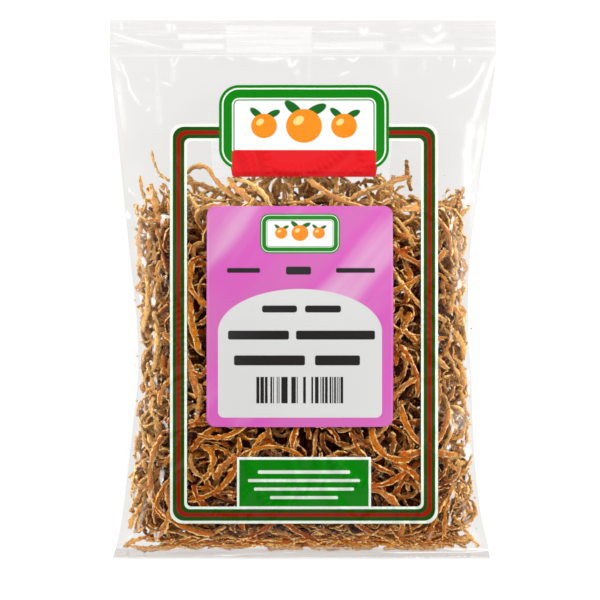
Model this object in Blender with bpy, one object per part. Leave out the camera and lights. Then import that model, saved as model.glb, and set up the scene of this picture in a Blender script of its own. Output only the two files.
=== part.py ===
"""A clear pillow bag of dried orange peel strips, lying on its back, with a sticker on its front.

Units are metres. +X runs across the bag, +Y from its bottom seal to its top seal, and +Z up.
The origin is under the middle of the bag, on the surface that it rests on.
"""

import math

import bpy
import numpy as np

# The film between its cut ends, the width of each seal, and its thickness where it ends
BAG_HALF_LENGTH = 0.0974
TOP_SEAL_WIDTH = 0.0122
BOTTOM_SEAL_WIDTH = 0.0045
RIM_THICKNESS = 0.0008

# The left and right outlines, as (place along Y, distance from the middle)
LEFT_OUTLINE = (
    (-0.0974, 0.0686), (-0.0921, 0.0670), (-0.0834, 0.0653), (-0.0660, 0.0630),
    (-0.0486, 0.0609), (-0.0313, 0.0591), (-0.0140, 0.0594), (0.0118, 0.0621),
    (0.0335, 0.0645), (0.0510, 0.0664), (0.0685, 0.0684), (0.0816, 0.0698), (0.0974, 0.0699),
)
RIGHT_OUTLINE = (
    (-0.0974, 0.0677), (-0.0921, 0.0668), (-0.0834, 0.0647), (-0.0660, 0.0623),
    (-0.0486, 0.0611), (-0.0313, 0.0605), (-0.0140, 0.0594), (0.0118, 0.0601),
    (0.0335, 0.0629), (0.0510, 0.0656), (0.0685, 0.0682), (0.0816, 0.0699), (0.0974, 0.0700),
)

# Heights above the floor along the bag: the crown of the front, the rim at the sides, the back
CROWN = (
    (-0.0974, 0.0074), (-0.0925, 0.0078), (-0.0840, 0.0205), (-0.0680, 0.0310),
    (-0.0420, 0.0368), (-0.0120, 0.0376), (0.0140, 0.0338), (0.0340, 0.0260),
    (0.0520, 0.0155), (0.0690, 0.0080), (0.0855, 0.0034), (0.0974, 0.0030),
)
RIM = (
    (-0.0974, 0.0070), (-0.0925, 0.0072), (-0.0800, 0.0088), (-0.0550, 0.0120),
    (-0.0150, 0.0134), (0.0200, 0.0114), (0.0500, 0.0068), (0.0700, 0.0041),
    (0.0855, 0.0028), (0.0974, 0.0026),
)
BACK = (
    (-0.0974, 0.0066), (-0.0925, 0.0066), (-0.0840, 0.0024), (-0.0770, 0.0),
    (0.0600, 0.0), (0.0700, 0.0008), (0.0855, 0.0020), (0.0974, 0.0022),
)

# The section across the bag: how full the front is, and how soon the back leaves the floor
FRONT_FULLNESS = 2.4
FRONT_SHOULDER = 0.72
BACK_CURL = 0.45

# The sticker: its middle, its size, its thickness, and the calm it brings to the film
LABEL_CENTRE = (-0.0010, -0.0097)
LABEL_SIZE = (0.0660, 0.0782)
LABEL_CORNER = 0.0030
LABEL_THICKNESS = 0.0003
LABEL_GAP = 0.0003
LABEL_CALM = 0.9
LABEL_BLEND = 0.004

# The peel pressed against the film: one ridge for each strip on top of the heap
STRIP_SEED = 7
STRIP_COUNT = 54
STRIP_TRIES = 14
STRIP_LENGTHS = (0.020, 0.036)
STRIP_BENDS = (0.3, 2.4)
STRIP_STEPS = 15
STRIP_REACH_X = 0.056
STRIP_REACH_Y = (-0.085, 0.046)
STRIP_RIDGE = 0.0014
STRIP_SPREAD = 0.0019

# Broad lumps where the heap is uneven
LUMP_SEED = 3
LUMP_COUNT = 20
LUMP_HEIGHT = 0.0016
LUMP_RADII = (0.010, 0.019)

# Relief fades out where the bag is thinner than this
FULL_RELIEF_DEPTH = 0.012

# Creases of the film: start, pull, end, height and spread of each
CREASES = (
    ((-0.0690, 0.0845), (-0.0660, 0.0670), (-0.0560, 0.0610), 0.0016, 0.0017),
    ((0.0695, 0.0845), (0.0670, 0.0640), (0.0620, 0.0440), 0.0018, 0.0019),
    ((0.0660, 0.0840), (0.0600, 0.0720), (0.0490, 0.0670), 0.0016, 0.0016),
    ((-0.0640, 0.0560), (-0.0635, 0.0420), (-0.0610, 0.0260), 0.0012, 0.0018),
    ((-0.0350, 0.0840), (-0.0340, 0.0780), (-0.0330, 0.0660), 0.0010, 0.0018),
    ((0.0200, 0.0845), (0.0190, 0.0780), (0.0220, 0.0700), 0.0010, 0.0018),
    ((-0.0640, -0.0900), (-0.0580, -0.0800), (-0.0570, -0.0640), 0.0014, 0.0018),
    ((0.0630, -0.0900), (0.0590, -0.0800), (0.0580, -0.0620), 0.0014, 0.0018),
)
CREASE_STEPS = 24

# Puckers inside both rims, where the waist takes up the film's width
PUCKER_PITCH = 0.0125
PUCKER_HEIGHT = 0.0007
PUCKER_REACH = 0.30

# Ribs that the sealing jaws press into the seals
TOP_RIBS = 3
BOTTOM_RIBS = 1
RIB_HEIGHT = 0.00035
SEAL_WAVE = 0.0006
SEAL_WAVE_LENGTH = 0.047

# Grid of the solid: rows in each stretch along Y, and columns across the front and the back
BOTTOM_SEAL_ROWS = 4
FILLED_ROWS = 62
SLACK_ROWS = 13
TOP_SEAL_ROWS = 12
SLACK_START = 0.048
FRONT_COLUMNS = 50
BACK_COLUMNS = 12
LABEL_COLUMNS = 18
LABEL_ROWS = 18
LABEL_CORNER_ROWS = 3


def smooth_through(stations, at):
    """A smooth curve through (place, value) stations, read at each place in the array at."""
    places, values = np.array(stations).T
    slopes = np.gradient(values, places)
    at = np.clip(at, places[0], places[-1])
    i = np.clip(np.searchsorted(places, at) - 1, 0, len(places) - 2)
    span = places[i + 1] - places[i]
    t = (at - places[i]) / span
    return (
        values[i] * (1 + 2 * t) * (1 - t) ** 2
        + slopes[i] * span * t * (1 - t) ** 2
        + values[i + 1] * t * t * (3 - 2 * t)
        + slopes[i + 1] * span * t * t * (t - 1)
    )


def smooth_step(t):
    """0 below 0, 1 above 1, and an S-shaped ramp between."""
    t = np.clip(t, 0, 1)
    return t * t * (3 - 2 * t)


def across(x, y):
    """Where x lies across the bag at y: -1 on the left rim, 1 on the right rim."""
    left, right = rims(y)
    return np.clip((2 * x - left - right) / (right - left), -1, 1)


def rims(y):
    """The X of the left and right rims at y."""
    return -smooth_through(LEFT_OUTLINE, y), smooth_through(RIGHT_OUTLINE, y)


def pressed_strips():
    """The middle lines of the strips on top of the heap, as an array (strip, step, 2).

    Each is an arc. It goes where it lies furthest from those before it, out of a few random
    places on the front that the sticker leaves free.
    """
    draw = np.random.default_rng(STRIP_SEED)
    steps = np.linspace(-0.5, 0.5, STRIP_STEPS)
    chosen = []
    while len(chosen) < STRIP_COUNT:
        best, best_room = None, -1.0
        for _ in range(STRIP_TRIES):
            centre = np.array([
                draw.uniform(-STRIP_REACH_X, STRIP_REACH_X),
                draw.uniform(*STRIP_REACH_Y),
            ])
            length = draw.uniform(*STRIP_LENGTHS)
            bend = draw.uniform(*STRIP_BENDS) * draw.choice((-1, 1))
            heading = draw.uniform(0, math.pi) + bend * steps
            line = np.cumsum(np.stack([np.cos(heading), np.sin(heading)], 1), 0)
            line = centre + (line - line.mean(0)) * length / (STRIP_STEPS - 1)
            hidden = label_cover(line[:, 0], line[:, 1]).mean()
            if hidden > 0.5 or abs(line[:, 0]).max() > STRIP_REACH_X:
                continue
            if chosen:
                gaps = np.linalg.norm(np.array(chosen)[:, :, None] - line, axis=3)
                room = gaps.min(axis=(0, 1)).mean()
            else:
                room = 1.0
            if room > best_room:
                best, best_room = line, room
        if best is not None:
            chosen.append(best)
    return np.array(chosen)


def ridge_along(line, x, y, spread):
    """1 on a line of points and less beside it, as a bell curve of the distance to the line."""
    reach = (x[..., None] - line[:, 0]) ** 2 + (y[..., None] - line[:, 1]) ** 2
    return np.exp(-reach.min(axis=-1) / spread**2)


def strip_relief(x, y):
    """How far the film stands out over the strips pressed against it."""
    relief = np.zeros_like(x)
    for line in pressed_strips():
        relief = np.maximum(relief, ridge_along(line, x, y, STRIP_SPREAD))
    return STRIP_RIDGE * relief


def lump_relief(x, y):
    """Broad swellings and hollows of the heap."""
    draw = np.random.default_rng(LUMP_SEED)
    relief = np.zeros_like(x)
    for _ in range(LUMP_COUNT):
        cx, cy = draw.uniform(-0.05, 0.05), draw.uniform(-0.085, 0.045)
        radius = draw.uniform(*LUMP_RADII)
        height = LUMP_HEIGHT * draw.uniform(-1, 1)
        relief += height * np.exp(-((x - cx) ** 2 + (y - cy) ** 2) / radius**2)
    return relief


def crease_relief(x, y):
    """The folds that run from the seals into the film, highest halfway along."""
    t = np.linspace(0, 1, CREASE_STEPS)[:, None]
    relief = np.zeros_like(x)
    for start, pull, end, height, spread in CREASES:
        line = (
            np.array(start) * (1 - t) ** 2
            + np.array(pull) * 2 * t * (1 - t)
            + np.array(end) * t**2
        )
        middle = line[CREASE_STEPS // 2]
        half = np.linalg.norm(line[-1] - line[0]) / 2
        fade = np.exp(-((x - middle[0]) ** 2 + (y - middle[1]) ** 2) / half**2)
        relief += height * fade * ridge_along(line, x, y, spread)
    return relief


def pucker_relief(x, y):
    """Short waves that run in from both rims and die out."""
    inward = smooth_step((abs(across(x, y)) - 1 + PUCKER_REACH) / PUCKER_REACH)
    phase = 2 * math.pi * y / PUCKER_PITCH + 2.2 * np.sin(38 * y + 3 * np.sign(x))
    return PUCKER_HEIGHT * inward * (1 - inward) * 4 * np.sin(phase)


def seal_ribs(y):
    """The ribs that run along both seals, 0 between the seals."""
    top = np.clip((y - BAG_HALF_LENGTH + TOP_SEAL_WIDTH) / TOP_SEAL_WIDTH, 0, 1)
    bottom = np.clip((BOTTOM_SEAL_WIDTH - y - BAG_HALF_LENGTH) / BOTTOM_SEAL_WIDTH, 0, 1)
    ribs = np.sin(math.pi * TOP_RIBS * top) ** 2 + np.sin(math.pi * BOTTOM_RIBS * bottom) ** 2
    return RIB_HEIGHT * ribs


def seal_wave(x, y):
    """The slow wave of both free ends, which lifts front and back alike."""
    near_end = smooth_step((abs(y) - 0.075) / (BAG_HALF_LENGTH - 0.075))
    return SEAL_WAVE * near_end * (1 + np.sin(2 * math.pi * x / SEAL_WAVE_LENGTH + 30 * y))


def label_cover(x, y):
    """1 under the sticker, 0 away from it, with a short ramp round its edge."""
    beside = abs(x - LABEL_CENTRE[0]) - LABEL_SIZE[0] / 2
    beyond = abs(y - LABEL_CENTRE[1]) - LABEL_SIZE[1] / 2
    return 1 - smooth_step(np.maximum(beside, beyond) / LABEL_BLEND)


def smooth_front(x, y):
    """Height of the front face before its relief."""
    s = abs(across(x, y))
    rim = smooth_through(RIM, y) + RIM_THICKNESS / 2
    crown = smooth_through(CROWN, y)
    return rim + (crown - rim) * (1 - s**FRONT_FULLNESS) ** FRONT_SHOULDER


def back_height(x, y):
    """Height of the back face, which lies flat on the floor in its middle."""
    s = abs(across(x, y))
    rim = smooth_through(RIM, y) - RIM_THICKNESS / 2
    floor = np.maximum(smooth_through(BACK, y), 0)
    share = np.sin(np.clip((1 - s) / BACK_CURL, 0, 1) * math.pi / 2)
    return rim + (floor - rim) * share + seal_wave(x, y) * (abs(y) > 0.075)


def front_height(x, y):
    """Height of the front face: the filled form, then strips, lumps, creases and ribs."""
    base = smooth_front(x, y)
    depth = base - smooth_through(RIM, y)
    full = smooth_step(depth / FULL_RELIEF_DEPTH)
    bare = 1 - LABEL_CALM * label_cover(x, y)
    relief = full * (bare * strip_relief(x, y) + lump_relief(x, y))
    folds = smooth_step((1 - abs(across(x, y))) / 0.04) * crease_relief(x, y)
    slack = smooth_step(depth / 0.0015)
    return base + relief + slack * (folds + pucker_relief(x, y)) + seal_ribs(y) + seal_wave(x, y)


def row_places():
    """The Y of each row of the grid, closer together in the seals."""
    low_seal = -BAG_HALF_LENGTH + BOTTOM_SEAL_WIDTH
    high_seal = BAG_HALF_LENGTH - TOP_SEAL_WIDTH
    ends = (-BAG_HALF_LENGTH, low_seal, SLACK_START, high_seal, BAG_HALF_LENGTH)
    counts = (BOTTOM_SEAL_ROWS, FILLED_ROWS, SLACK_ROWS, TOP_SEAL_ROWS)
    stretches = [
        np.linspace(a, b, n, endpoint=False) for a, b, n in zip(ends, ends[1:], counts)
    ]
    return np.append(np.concatenate(stretches), ends[-1])


def face_points(height, columns):
    """Points of one face of the bag, as (row, column, 3)."""
    rows = row_places()[:, None]
    left, right = rims(rows)
    x = left + (right - left) * np.linspace(0, 1, columns + 1)
    y = np.broadcast_to(rows, x.shape)
    return np.stack([x, y, height(x, y)], 2)


def grid_faces(rows, columns, first, flip):
    """Quads between neighbouring rows and columns of a grid whose points start at first."""
    corner = (
        first + np.arange(rows - 1)[:, None] * columns + np.arange(columns - 1)
    ).ravel()
    quads = np.stack([corner, corner + 1, corner + columns + 1, corner + columns], 1)
    return quads[:, ::-1] if flip else quads


def shaded_mesh(name, points, faces):
    """A mesh from points and faces, shaded smooth but for its sharp edges."""
    mesh = bpy.data.meshes.new(name)
    mesh.from_pydata([tuple(p) for p in points], [], [tuple(map(int, f)) for f in faces])
    mesh.validate()
    mesh.shade_smooth()
    mesh.set_sharp_from_angle(angle=math.radians(40))
    return mesh


def bag_mesh():
    """The filled bag as one closed body: front, back, side rims and the two cut ends."""
    front = face_points(front_height, FRONT_COLUMNS)
    back = face_points(back_height, BACK_COLUMNS)
    rows, wide = front.shape[:2]
    narrow = back.shape[1]
    first_back = rows * wide
    quads = [
        grid_faces(rows, wide, 0, flip=False),
        grid_faces(rows, narrow, first_back, flip=True),
    ]
    lower, upper = np.arange(rows - 1), np.arange(1, rows)
    for front_side, back_side, flip in ((0, 0, True), (wide - 1, narrow - 1, False)):
        wall = np.stack([
            first_back + lower * narrow + back_side,
            first_back + upper * narrow + back_side,
            upper * wide + front_side,
            lower * wide + front_side,
        ], 1)
        quads.append(wall[:, ::-1] if flip else wall)
    faces = [tuple(q) for q in np.concatenate(quads)]
    for row, flip in ((0, True), (rows - 1, False)):
        front_edge = list(row * wide + np.arange(wide))
        back_edge = list(first_back + row * narrow + np.arange(narrow))
        faces += end_wall(front_edge, back_edge, flip)
    points = np.concatenate([front.reshape(-1, 3), back.reshape(-1, 3)])
    return shaded_mesh("bag", points, faces)


def end_wall(front_edge, back_edge, flip):
    """Triangles and quads that close a cut end, between many front and few back points."""
    faces = []
    done = 0
    for i in range(len(back_edge) - 1):
        reach = round((i + 1) * (len(front_edge) - 1) / (len(back_edge) - 1))
        for j in range(done, reach):
            faces.append((front_edge[j], front_edge[j + 1], back_edge[i]))
        faces.append((front_edge[reach], back_edge[i + 1], back_edge[i]))
        done = reach
    return [face[::-1] for face in faces] if flip else faces


def label_rows():
    """(distance along the sticker, half width there) of each row, with round corners."""
    half_width, half_height = LABEL_SIZE[0] / 2, LABEL_SIZE[1] / 2
    turn = np.linspace(0, math.pi / 2, LABEL_CORNER_ROWS + 1)
    low = half_height - LABEL_CORNER * (1 - np.sin(turn))
    wide = half_width - LABEL_CORNER * (1 - np.cos(turn))
    middle = np.linspace(-low[0], low[0], LABEL_ROWS)[1:-1]
    along = np.concatenate([-low[::-1], middle, low])
    half = np.concatenate([wide[::-1], np.full(len(middle), half_width), wide])
    return along, half


def label_mesh():
    """The sticker's underside, which follows the front of the bag at a small gap."""
    along, half = label_rows()
    x = LABEL_CENTRE[0] + half[:, None] * np.linspace(-1, 1, LABEL_COLUMNS + 1)
    y = np.broadcast_to(LABEL_CENTRE[1] + along[:, None], x.shape)
    points = np.stack([x, y, front_height(x, y) + LABEL_GAP], 2)
    faces = grid_faces(len(along), LABEL_COLUMNS + 1, 0, flip=False)
    return shaded_mesh("label", points.reshape(-1, 3), faces)


def plain_material(name, colour, roughness):
    """A material of one colour and one roughness."""
    material = bpy.data.materials.new(name)
    material.use_nodes = True
    shader = material.node_tree.nodes["Principled BSDF"]
    shader.inputs["Base Color"].default_value = (*colour, 1)
    shader.inputs["Roughness"].default_value = roughness
    shader.inputs["Metallic"].default_value = 0.0
    return material


def add_object(name, mesh, material):
    """Links a named object with its mesh and material."""
    obj = bpy.data.objects.new(name, mesh)
    obj.data.materials.append(material)
    bpy.context.scene.collection.objects.link(obj)
    return obj


def build_bag():
    """The bag, in the colour of the peel that shows through its film."""
    add_object("bag", bag_mesh(), plain_material("peel_in_film", (0.50, 0.24, 0.07), 0.25))


def build_label():
    """The sticker, given its thickness outwards from the bag."""
    material = plain_material("label_paper", (0.80, 0.30, 0.66), 0.4)
    label = add_object("label", label_mesh(), material)
    thicken = label.modifiers.new("thickness", "SOLIDIFY")
    thicken.thickness = LABEL_THICKNESS
    thicken.offset = 1.0
    thicken.use_even_offset = False


def main():
    for obj in list(bpy.data.objects):
        bpy.data.objects.remove(obj)
    build_bag()
    build_label()


main()
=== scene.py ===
"""Dresses the bag of dried orange peel: clear film, its print, the sticker, and the loose strips inside.

Everything is in metres, in the frame of the CAD model: +X across the bag, +Y from its bottom seal to its
top seal, +Z up. The film, the strips and the sticker are worked out from the same form as the CAD solid.
"""

import logging
import math
from dataclasses import dataclass, field
from enum import Enum
from typing import Callable, Union

import bpy
import numpy as np
from numpy.typing import NDArray
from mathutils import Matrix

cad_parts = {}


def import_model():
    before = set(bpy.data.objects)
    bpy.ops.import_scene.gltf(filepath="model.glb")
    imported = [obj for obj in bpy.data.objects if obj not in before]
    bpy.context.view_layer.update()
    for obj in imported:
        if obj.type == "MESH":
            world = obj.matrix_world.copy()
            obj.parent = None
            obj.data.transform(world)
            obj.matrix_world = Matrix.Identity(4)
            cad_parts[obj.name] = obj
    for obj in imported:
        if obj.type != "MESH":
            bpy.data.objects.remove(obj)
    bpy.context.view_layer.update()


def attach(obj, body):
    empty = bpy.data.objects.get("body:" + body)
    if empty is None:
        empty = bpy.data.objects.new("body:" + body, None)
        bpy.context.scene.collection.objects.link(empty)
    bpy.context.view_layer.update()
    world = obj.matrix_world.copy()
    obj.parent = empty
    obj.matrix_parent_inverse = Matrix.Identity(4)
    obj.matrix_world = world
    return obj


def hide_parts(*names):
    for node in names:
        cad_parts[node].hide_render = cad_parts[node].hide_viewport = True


Array = NDArray[np.float64]
Numbers = Union[float, Array]
Height = Callable[[Array, Array], Array]
Colour = tuple[float, float, float]
Stations = tuple[tuple[float, float], ...]
LOG = logging.getLogger("peel_bag")

# The size of one of the picture's pixels on the bag, in metres.
PIXEL = 0.00036

# The range from which the phase of a random wave is drawn.
PHASES = (0.0, 6.3)


def smooth_through(stations: Stations, at: Numbers) -> Array:
    """A smooth curve through (place, value) stations: cubic pieces that share their slopes.

    Args:
        stations: places in rising order, each with its value.
        at: places to read the curve at.

    Returns:
        The value at each place.
    """
    places, values = np.array(stations).T
    slopes = np.gradient(values, places)
    at = np.clip(at, places[0], places[-1])
    i = np.clip(np.searchsorted(places, at) - 1, 0, len(places) - 2)
    span = places[i + 1] - places[i]
    t = (at - places[i]) / span
    return (
        values[i] * (1 + 2 * t) * (1 - t) ** 2
        + slopes[i] * span * t * (1 - t) ** 2
        + values[i + 1] * t * t * (3 - 2 * t)
        + slopes[i + 1] * span * t * t * (t - 1)
    )


def smooth_step(t: Numbers) -> Array:
    """0 below 0, 1 above 1, and an S-shaped ramp between."""
    t = np.clip(t, 0, 1)
    return t * t * (3 - 2 * t)


def srgb(red: int, green: int, blue: int) -> Colour:
    """The linear colour of a display colour given in 0 to 255."""
    parts = [c / 255 for c in (red, green, blue)]
    return tuple(c / 12.92 if c <= 0.04045 else ((c + 0.055) / 1.055) ** 2.4 for c in parts)


def ridge_along(line: Array, x: Array, y: Array, spread: float) -> Array:
    """1 on a line of points and less beside it, as a bell curve of the distance to the nearest point."""
    reach = (x[..., None] - line[:, 0]) ** 2 + (y[..., None] - line[:, 1]) ** 2
    return np.exp(-reach.min(axis=-1) / spread**2)


@dataclass(frozen=True)
class Overhead:
    """The camera straight above the bag, and the way from a pixel of the picture to the bag."""

    x: float = -0.00094
    y: float = -0.00398
    height: float = 1.2
    picture_share: float = 0.18177
    pixels: float = 600.0

    def pixel_of(self, points: Array) -> tuple[Array, Array]:
        """Where points land in the picture.

        Args:
            points: places in space, with X, Y and Z in the last axis.

        Returns:
            Their columns and rows in the picture, in pixels.
        """
        scale = self.picture_share * (self.height - points[..., 2]) / self.pixels
        half = self.pixels / 2
        return half + (points[..., 0] - self.x) / scale, half - (points[..., 1] - self.y) / scale

    def onto(self, surface: Height, column: Array, row: Array) -> tuple[Array, Array]:
        """Where the rays through some pixels meet a surface over the floor.

        Args:
            surface: height of the surface at X and Y.
            column: pixel columns.
            row: pixel rows.

        Returns:
            The X and Y of the meeting places.
        """
        column, row = np.broadcast_arrays(np.asarray(column, float), np.asarray(row, float))
        x, y = np.zeros(column.shape), np.zeros(column.shape)
        for _ in range(6):
            scale = self.picture_share * (self.height - surface(x, y)) / self.pixels
            x = self.x + (column - self.pixels / 2) * scale
            y = self.y - (row - self.pixels / 2) * scale
        return x, y

    def drawn_at(self, column: Array, row: Array) -> Array:
        """Picture coordinates of pixels: pairs in hundreds of pixels from the middle, with Y up."""
        half = self.pixels / 2
        return np.stack([(column - half) / 100, (half - row) / 100], -1)

    def build(self) -> None:
        """Puts the camera in the scene, looking straight down with the top seal up."""
        lens = bpy.data.cameras.new("overhead")
        lens.sensor_width = 36.0
        lens.lens = lens.sensor_width / self.picture_share
        lens.clip_start, lens.clip_end = 0.05, 10.0
        camera = bpy.data.objects.new("overhead", lens)
        camera.location = (self.x, self.y, self.height)
        bpy.context.scene.collection.objects.link(camera)
        bpy.context.scene.camera = camera


@dataclass(frozen=True)
class Pillow:
    """The form of the filled bag, as the CAD solid has it."""

    half_length: float = 0.0974
    top_seal: float = 0.0122
    bottom_seal: float = 0.0045
    left: Stations = (
        (-0.0974, 0.0686), (-0.0921, 0.0670), (-0.0834, 0.0653), (-0.0660, 0.0630),
        (-0.0486, 0.0609), (-0.0313, 0.0591), (-0.0140, 0.0594), (0.0118, 0.0621),
        (0.0335, 0.0645), (0.0510, 0.0664), (0.0685, 0.0684), (0.0816, 0.0698), (0.0974, 0.0699),
    )
    right: Stations = (
        (-0.0974, 0.0677), (-0.0921, 0.0668), (-0.0834, 0.0647), (-0.0660, 0.0623),
        (-0.0486, 0.0611), (-0.0313, 0.0605), (-0.0140, 0.0594), (0.0118, 0.0601),
        (0.0335, 0.0629), (0.0510, 0.0656), (0.0685, 0.0682), (0.0816, 0.0699), (0.0974, 0.0700),
    )
    crown: Stations = (
        (-0.0974, 0.0074), (-0.0925, 0.0078), (-0.0840, 0.0205), (-0.0680, 0.0310),
        (-0.0420, 0.0368), (-0.0120, 0.0376), (0.0140, 0.0338), (0.0340, 0.0260),
        (0.0520, 0.0155), (0.0690, 0.0080), (0.0855, 0.0034), (0.0974, 0.0030),
    )
    rim: Stations = (
        (-0.0974, 0.0070), (-0.0925, 0.0072), (-0.0800, 0.0088), (-0.0550, 0.0120),
        (-0.0150, 0.0134), (0.0200, 0.0114), (0.0500, 0.0068), (0.0700, 0.0041),
        (0.0855, 0.0028), (0.0974, 0.0026),
    )
    back: Stations = (
        (-0.0974, 0.0066), (-0.0925, 0.0066), (-0.0840, 0.0024), (-0.0770, 0.0),
        (0.0600, 0.0), (0.0700, 0.0008), (0.0855, 0.0020), (0.0974, 0.0022),
    )
    fullness: float = 2.4
    shoulder: float = 0.72
    back_curl: float = 0.45
    label_centre: tuple[float, float] = (-0.0010, -0.0097)
    label_size: tuple[float, float] = (0.0660, 0.0782)
    label_corner: float = 0.0030
    label_calm: float = 0.9
    label_blend: float = 0.004
    full_relief_depth: float = 0.012
    ridge_height: float = 0.0014
    ridge_spread: float = 0.0019
    lumps: int = 20
    lump_height: float = 0.0016
    wave_from: float = 0.075
    wave_height: float = 0.0006
    wave_length: float = 0.047
    pressed: int = 54
    pressed_reach: float = 0.056
    lines: Array = field(default_factory=lambda: np.zeros((0, 1, 2)))

    def rims(self, y: Array) -> tuple[Array, Array]:
        """The X of the left and right rims at y."""
        return -smooth_through(self.left, y), smooth_through(self.right, y)

    def across(self, x: Array, y: Array) -> Array:
        """Where x lies across the bag at y: -1 on the left rim, 1 on the right rim."""
        left, right = self.rims(y)
        return np.clip((2 * x - left - right) / (right - left), -1, 1)

    def label_cover(self, x: Array, y: Array) -> Array:
        """1 under the sticker, 0 away from it, with a short ramp round its edge.

        Args:
            x: places across the bag.
            y: places along the bag.

        Returns:
            The cover.
        """
        beside = abs(x - self.label_centre[0]) - self.label_size[0] / 2
        beyond = abs(y - self.label_centre[1]) - self.label_size[1] / 2
        return 1 - smooth_step(np.maximum(beside, beyond) / self.label_blend)

    def front_base(self, x: Array, y: Array) -> Array:
        """Height of the front before its relief: a flattened arch between the rims.

        Args:
            x: places across the bag.
            y: places along the bag.

        Returns:
            The height.
        """
        s = abs(self.across(x, y))
        rim = smooth_through(self.rim, y)
        return rim + (smooth_through(self.crown, y) - rim) * (1 - s**self.fullness) ** self.shoulder

    def back_face(self, x: Array, y: Array) -> Array:
        """Height of the back, which lies on the floor in its middle and curls up to the rims.

        Args:
            x: places across the bag.
            y: places along the bag.

        Returns:
            The height.
        """
        s = abs(self.across(x, y))
        rim = smooth_through(self.rim, y)
        share = np.sin(np.clip((1 - s) / self.back_curl, 0, 1) * math.pi / 2)
        floor = np.maximum(smooth_through(self.back, y), 0)
        return rim + (floor - rim) * share + self.seal_wave(x, y) * (abs(y) > self.wave_from)

    def strip_relief(self, x: Array, y: Array) -> Array:
        """How far the film stands out over the strips pressed against it.

        Args:
            x: places across the bag.
            y: places along the bag.

        Returns:
            The height to add.
        """
        relief = np.zeros_like(x)
        for line in self.lines:
            relief = np.maximum(relief, ridge_along(line, x, y, self.ridge_spread))
        return self.ridge_height * relief

    def lump_relief(self, x: Array, y: Array) -> Array:
        """Broad swellings and hollows of the heap, as a sum of bell curves.

        Args:
            x: places across the bag.
            y: places along the bag.

        Returns:
            The height to add.
        """
        draw = np.random.default_rng(3)
        relief = np.zeros_like(x)
        for _ in range(self.lumps):
            cx, cy = draw.uniform(-0.05, 0.05), draw.uniform(-0.085, 0.045)
            radius = draw.uniform(0.010, 0.019)
            height = self.lump_height * draw.uniform(-1, 1)
            relief += height * np.exp(-((x - cx) ** 2 + (y - cy) ** 2) / radius**2)
        return relief

    def seal_wave(self, x: Array, y: Array) -> Array:
        """The slow wave of both free ends, which lifts front and back alike.

        Args:
            x: places across the bag.
            y: places along the bag.

        Returns:
            The height to add.
        """
        near_end = smooth_step((abs(y) - self.wave_from) / (self.half_length - self.wave_from))
        wave = 1 + np.sin(2 * math.pi * x / self.wave_length + 30 * y)
        return self.wave_height * near_end * wave

    def fill(self, x: Array, y: Array) -> Array:
        """0 where the bag is empty and thin, 1 where it is full."""
        depth = self.front_base(x, y) - smooth_through(self.rim, y)
        return smooth_step(depth / self.full_relief_depth)

    def front(self, x: Array, y: Array) -> Array:
        """Height of the front with the relief of the strips and the lumps of the heap.

        Args:
            x: places across the bag.
            y: places along the bag.

        Returns:
            The height.
        """
        bare = 1 - self.label_calm * self.label_cover(x, y)
        relief = bare * self.strip_relief(x, y) + self.lump_relief(x, y)
        return self.front_base(x, y) + self.fill(x, y) * relief + self.seal_wave(x, y)

    def with_pressed_strips(self) -> "Pillow":
        """The same form with the middle lines of the strips that lie on top of the heap.

        Each line is an arc. It goes where it lies furthest from those before it, out of a few random
        places on the front that the sticker leaves free.

        Returns:
            A form whose lines hold the arcs, as (strip, step, 2).
        """
        draw = np.random.default_rng(7)
        steps = np.linspace(-0.5, 0.5, 15)
        chosen: list[Array] = []
        while len(chosen) < self.pressed:
            best, best_room = None, -1.0
            for _ in range(14):
                across = draw.uniform(-self.pressed_reach, self.pressed_reach)
                centre = np.array([across, draw.uniform(-0.085, 0.046)])
                length = draw.uniform(0.020, 0.036)
                bend = draw.uniform(0.3, 2.4) * draw.choice((-1, 1))
                heading = draw.uniform(0, math.pi) + bend * steps
                line = np.cumsum(np.stack([np.cos(heading), np.sin(heading)], 1), 0)
                line = centre + (line - line.mean(0)) * length / 14
                hidden = self.label_cover(line[:, 0], line[:, 1]).mean()
                if hidden > 0.5 or abs(line[:, 0]).max() > self.pressed_reach:
                    continue
                room = 1.0
                if chosen:
                    gaps = np.linalg.norm(np.array(chosen)[:, :, None] - line, axis=3)
                    room = gaps.min(axis=(0, 1)).mean()
                if room > best_room:
                    best, best_room = line, room
            if best is not None:
                chosen.append(best)
        return Pillow(lines=np.array(chosen))


@dataclass(frozen=True)
class Value:
    """A shader socket on which an expression can be written: each operation adds its Math node."""

    paint: "Paint"
    socket: bpy.types.NodeSocket

    def _with(self, operation: str, *others: "Operand") -> "Value":
        """This value and others through one Math node."""
        return self.paint.maths(operation, self, *others)

    def __add__(self, other: "Operand") -> "Value":
        """The sum."""
        return self._with("ADD", other)

    __radd__ = __add__

    def __sub__(self, other: "Operand") -> "Value":
        """The difference."""
        return self._with("SUBTRACT", other)

    def __rsub__(self, other: "Operand") -> "Value":
        """The difference, taken from a number."""
        return self.paint.maths("SUBTRACT", other, self)

    def __mul__(self, other: "Operand") -> "Value":
        """The product."""
        return self._with("MULTIPLY", other)

    __rmul__ = __mul__

    def __pow__(self, other: "Operand") -> "Value":
        """The power."""
        return self._with("POWER", other)

    def __abs__(self) -> "Value":
        """The value without its sign."""
        return self._with("ABSOLUTE")

    def at_least(self, other: "Operand") -> "Value":
        """The larger of two values."""
        return self._with("MAXIMUM", other)

    def at_most(self, other: "Operand") -> "Value":
        """The smaller of two values."""
        return self._with("MINIMUM", other)

    def ramp(self, low: float, high: float) -> "Value":
        """0 at low and 1 at high, with an S-shaped ramp between; low may be above high."""
        values = {0: self, 1: min(low, high), 2: max(low, high)}
        rising = self.paint.node("ShaderNodeMapRange", {"interpolation_type": "SMOOTHSTEP"}, values)
        return rising if low < high else 1 - rising


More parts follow.
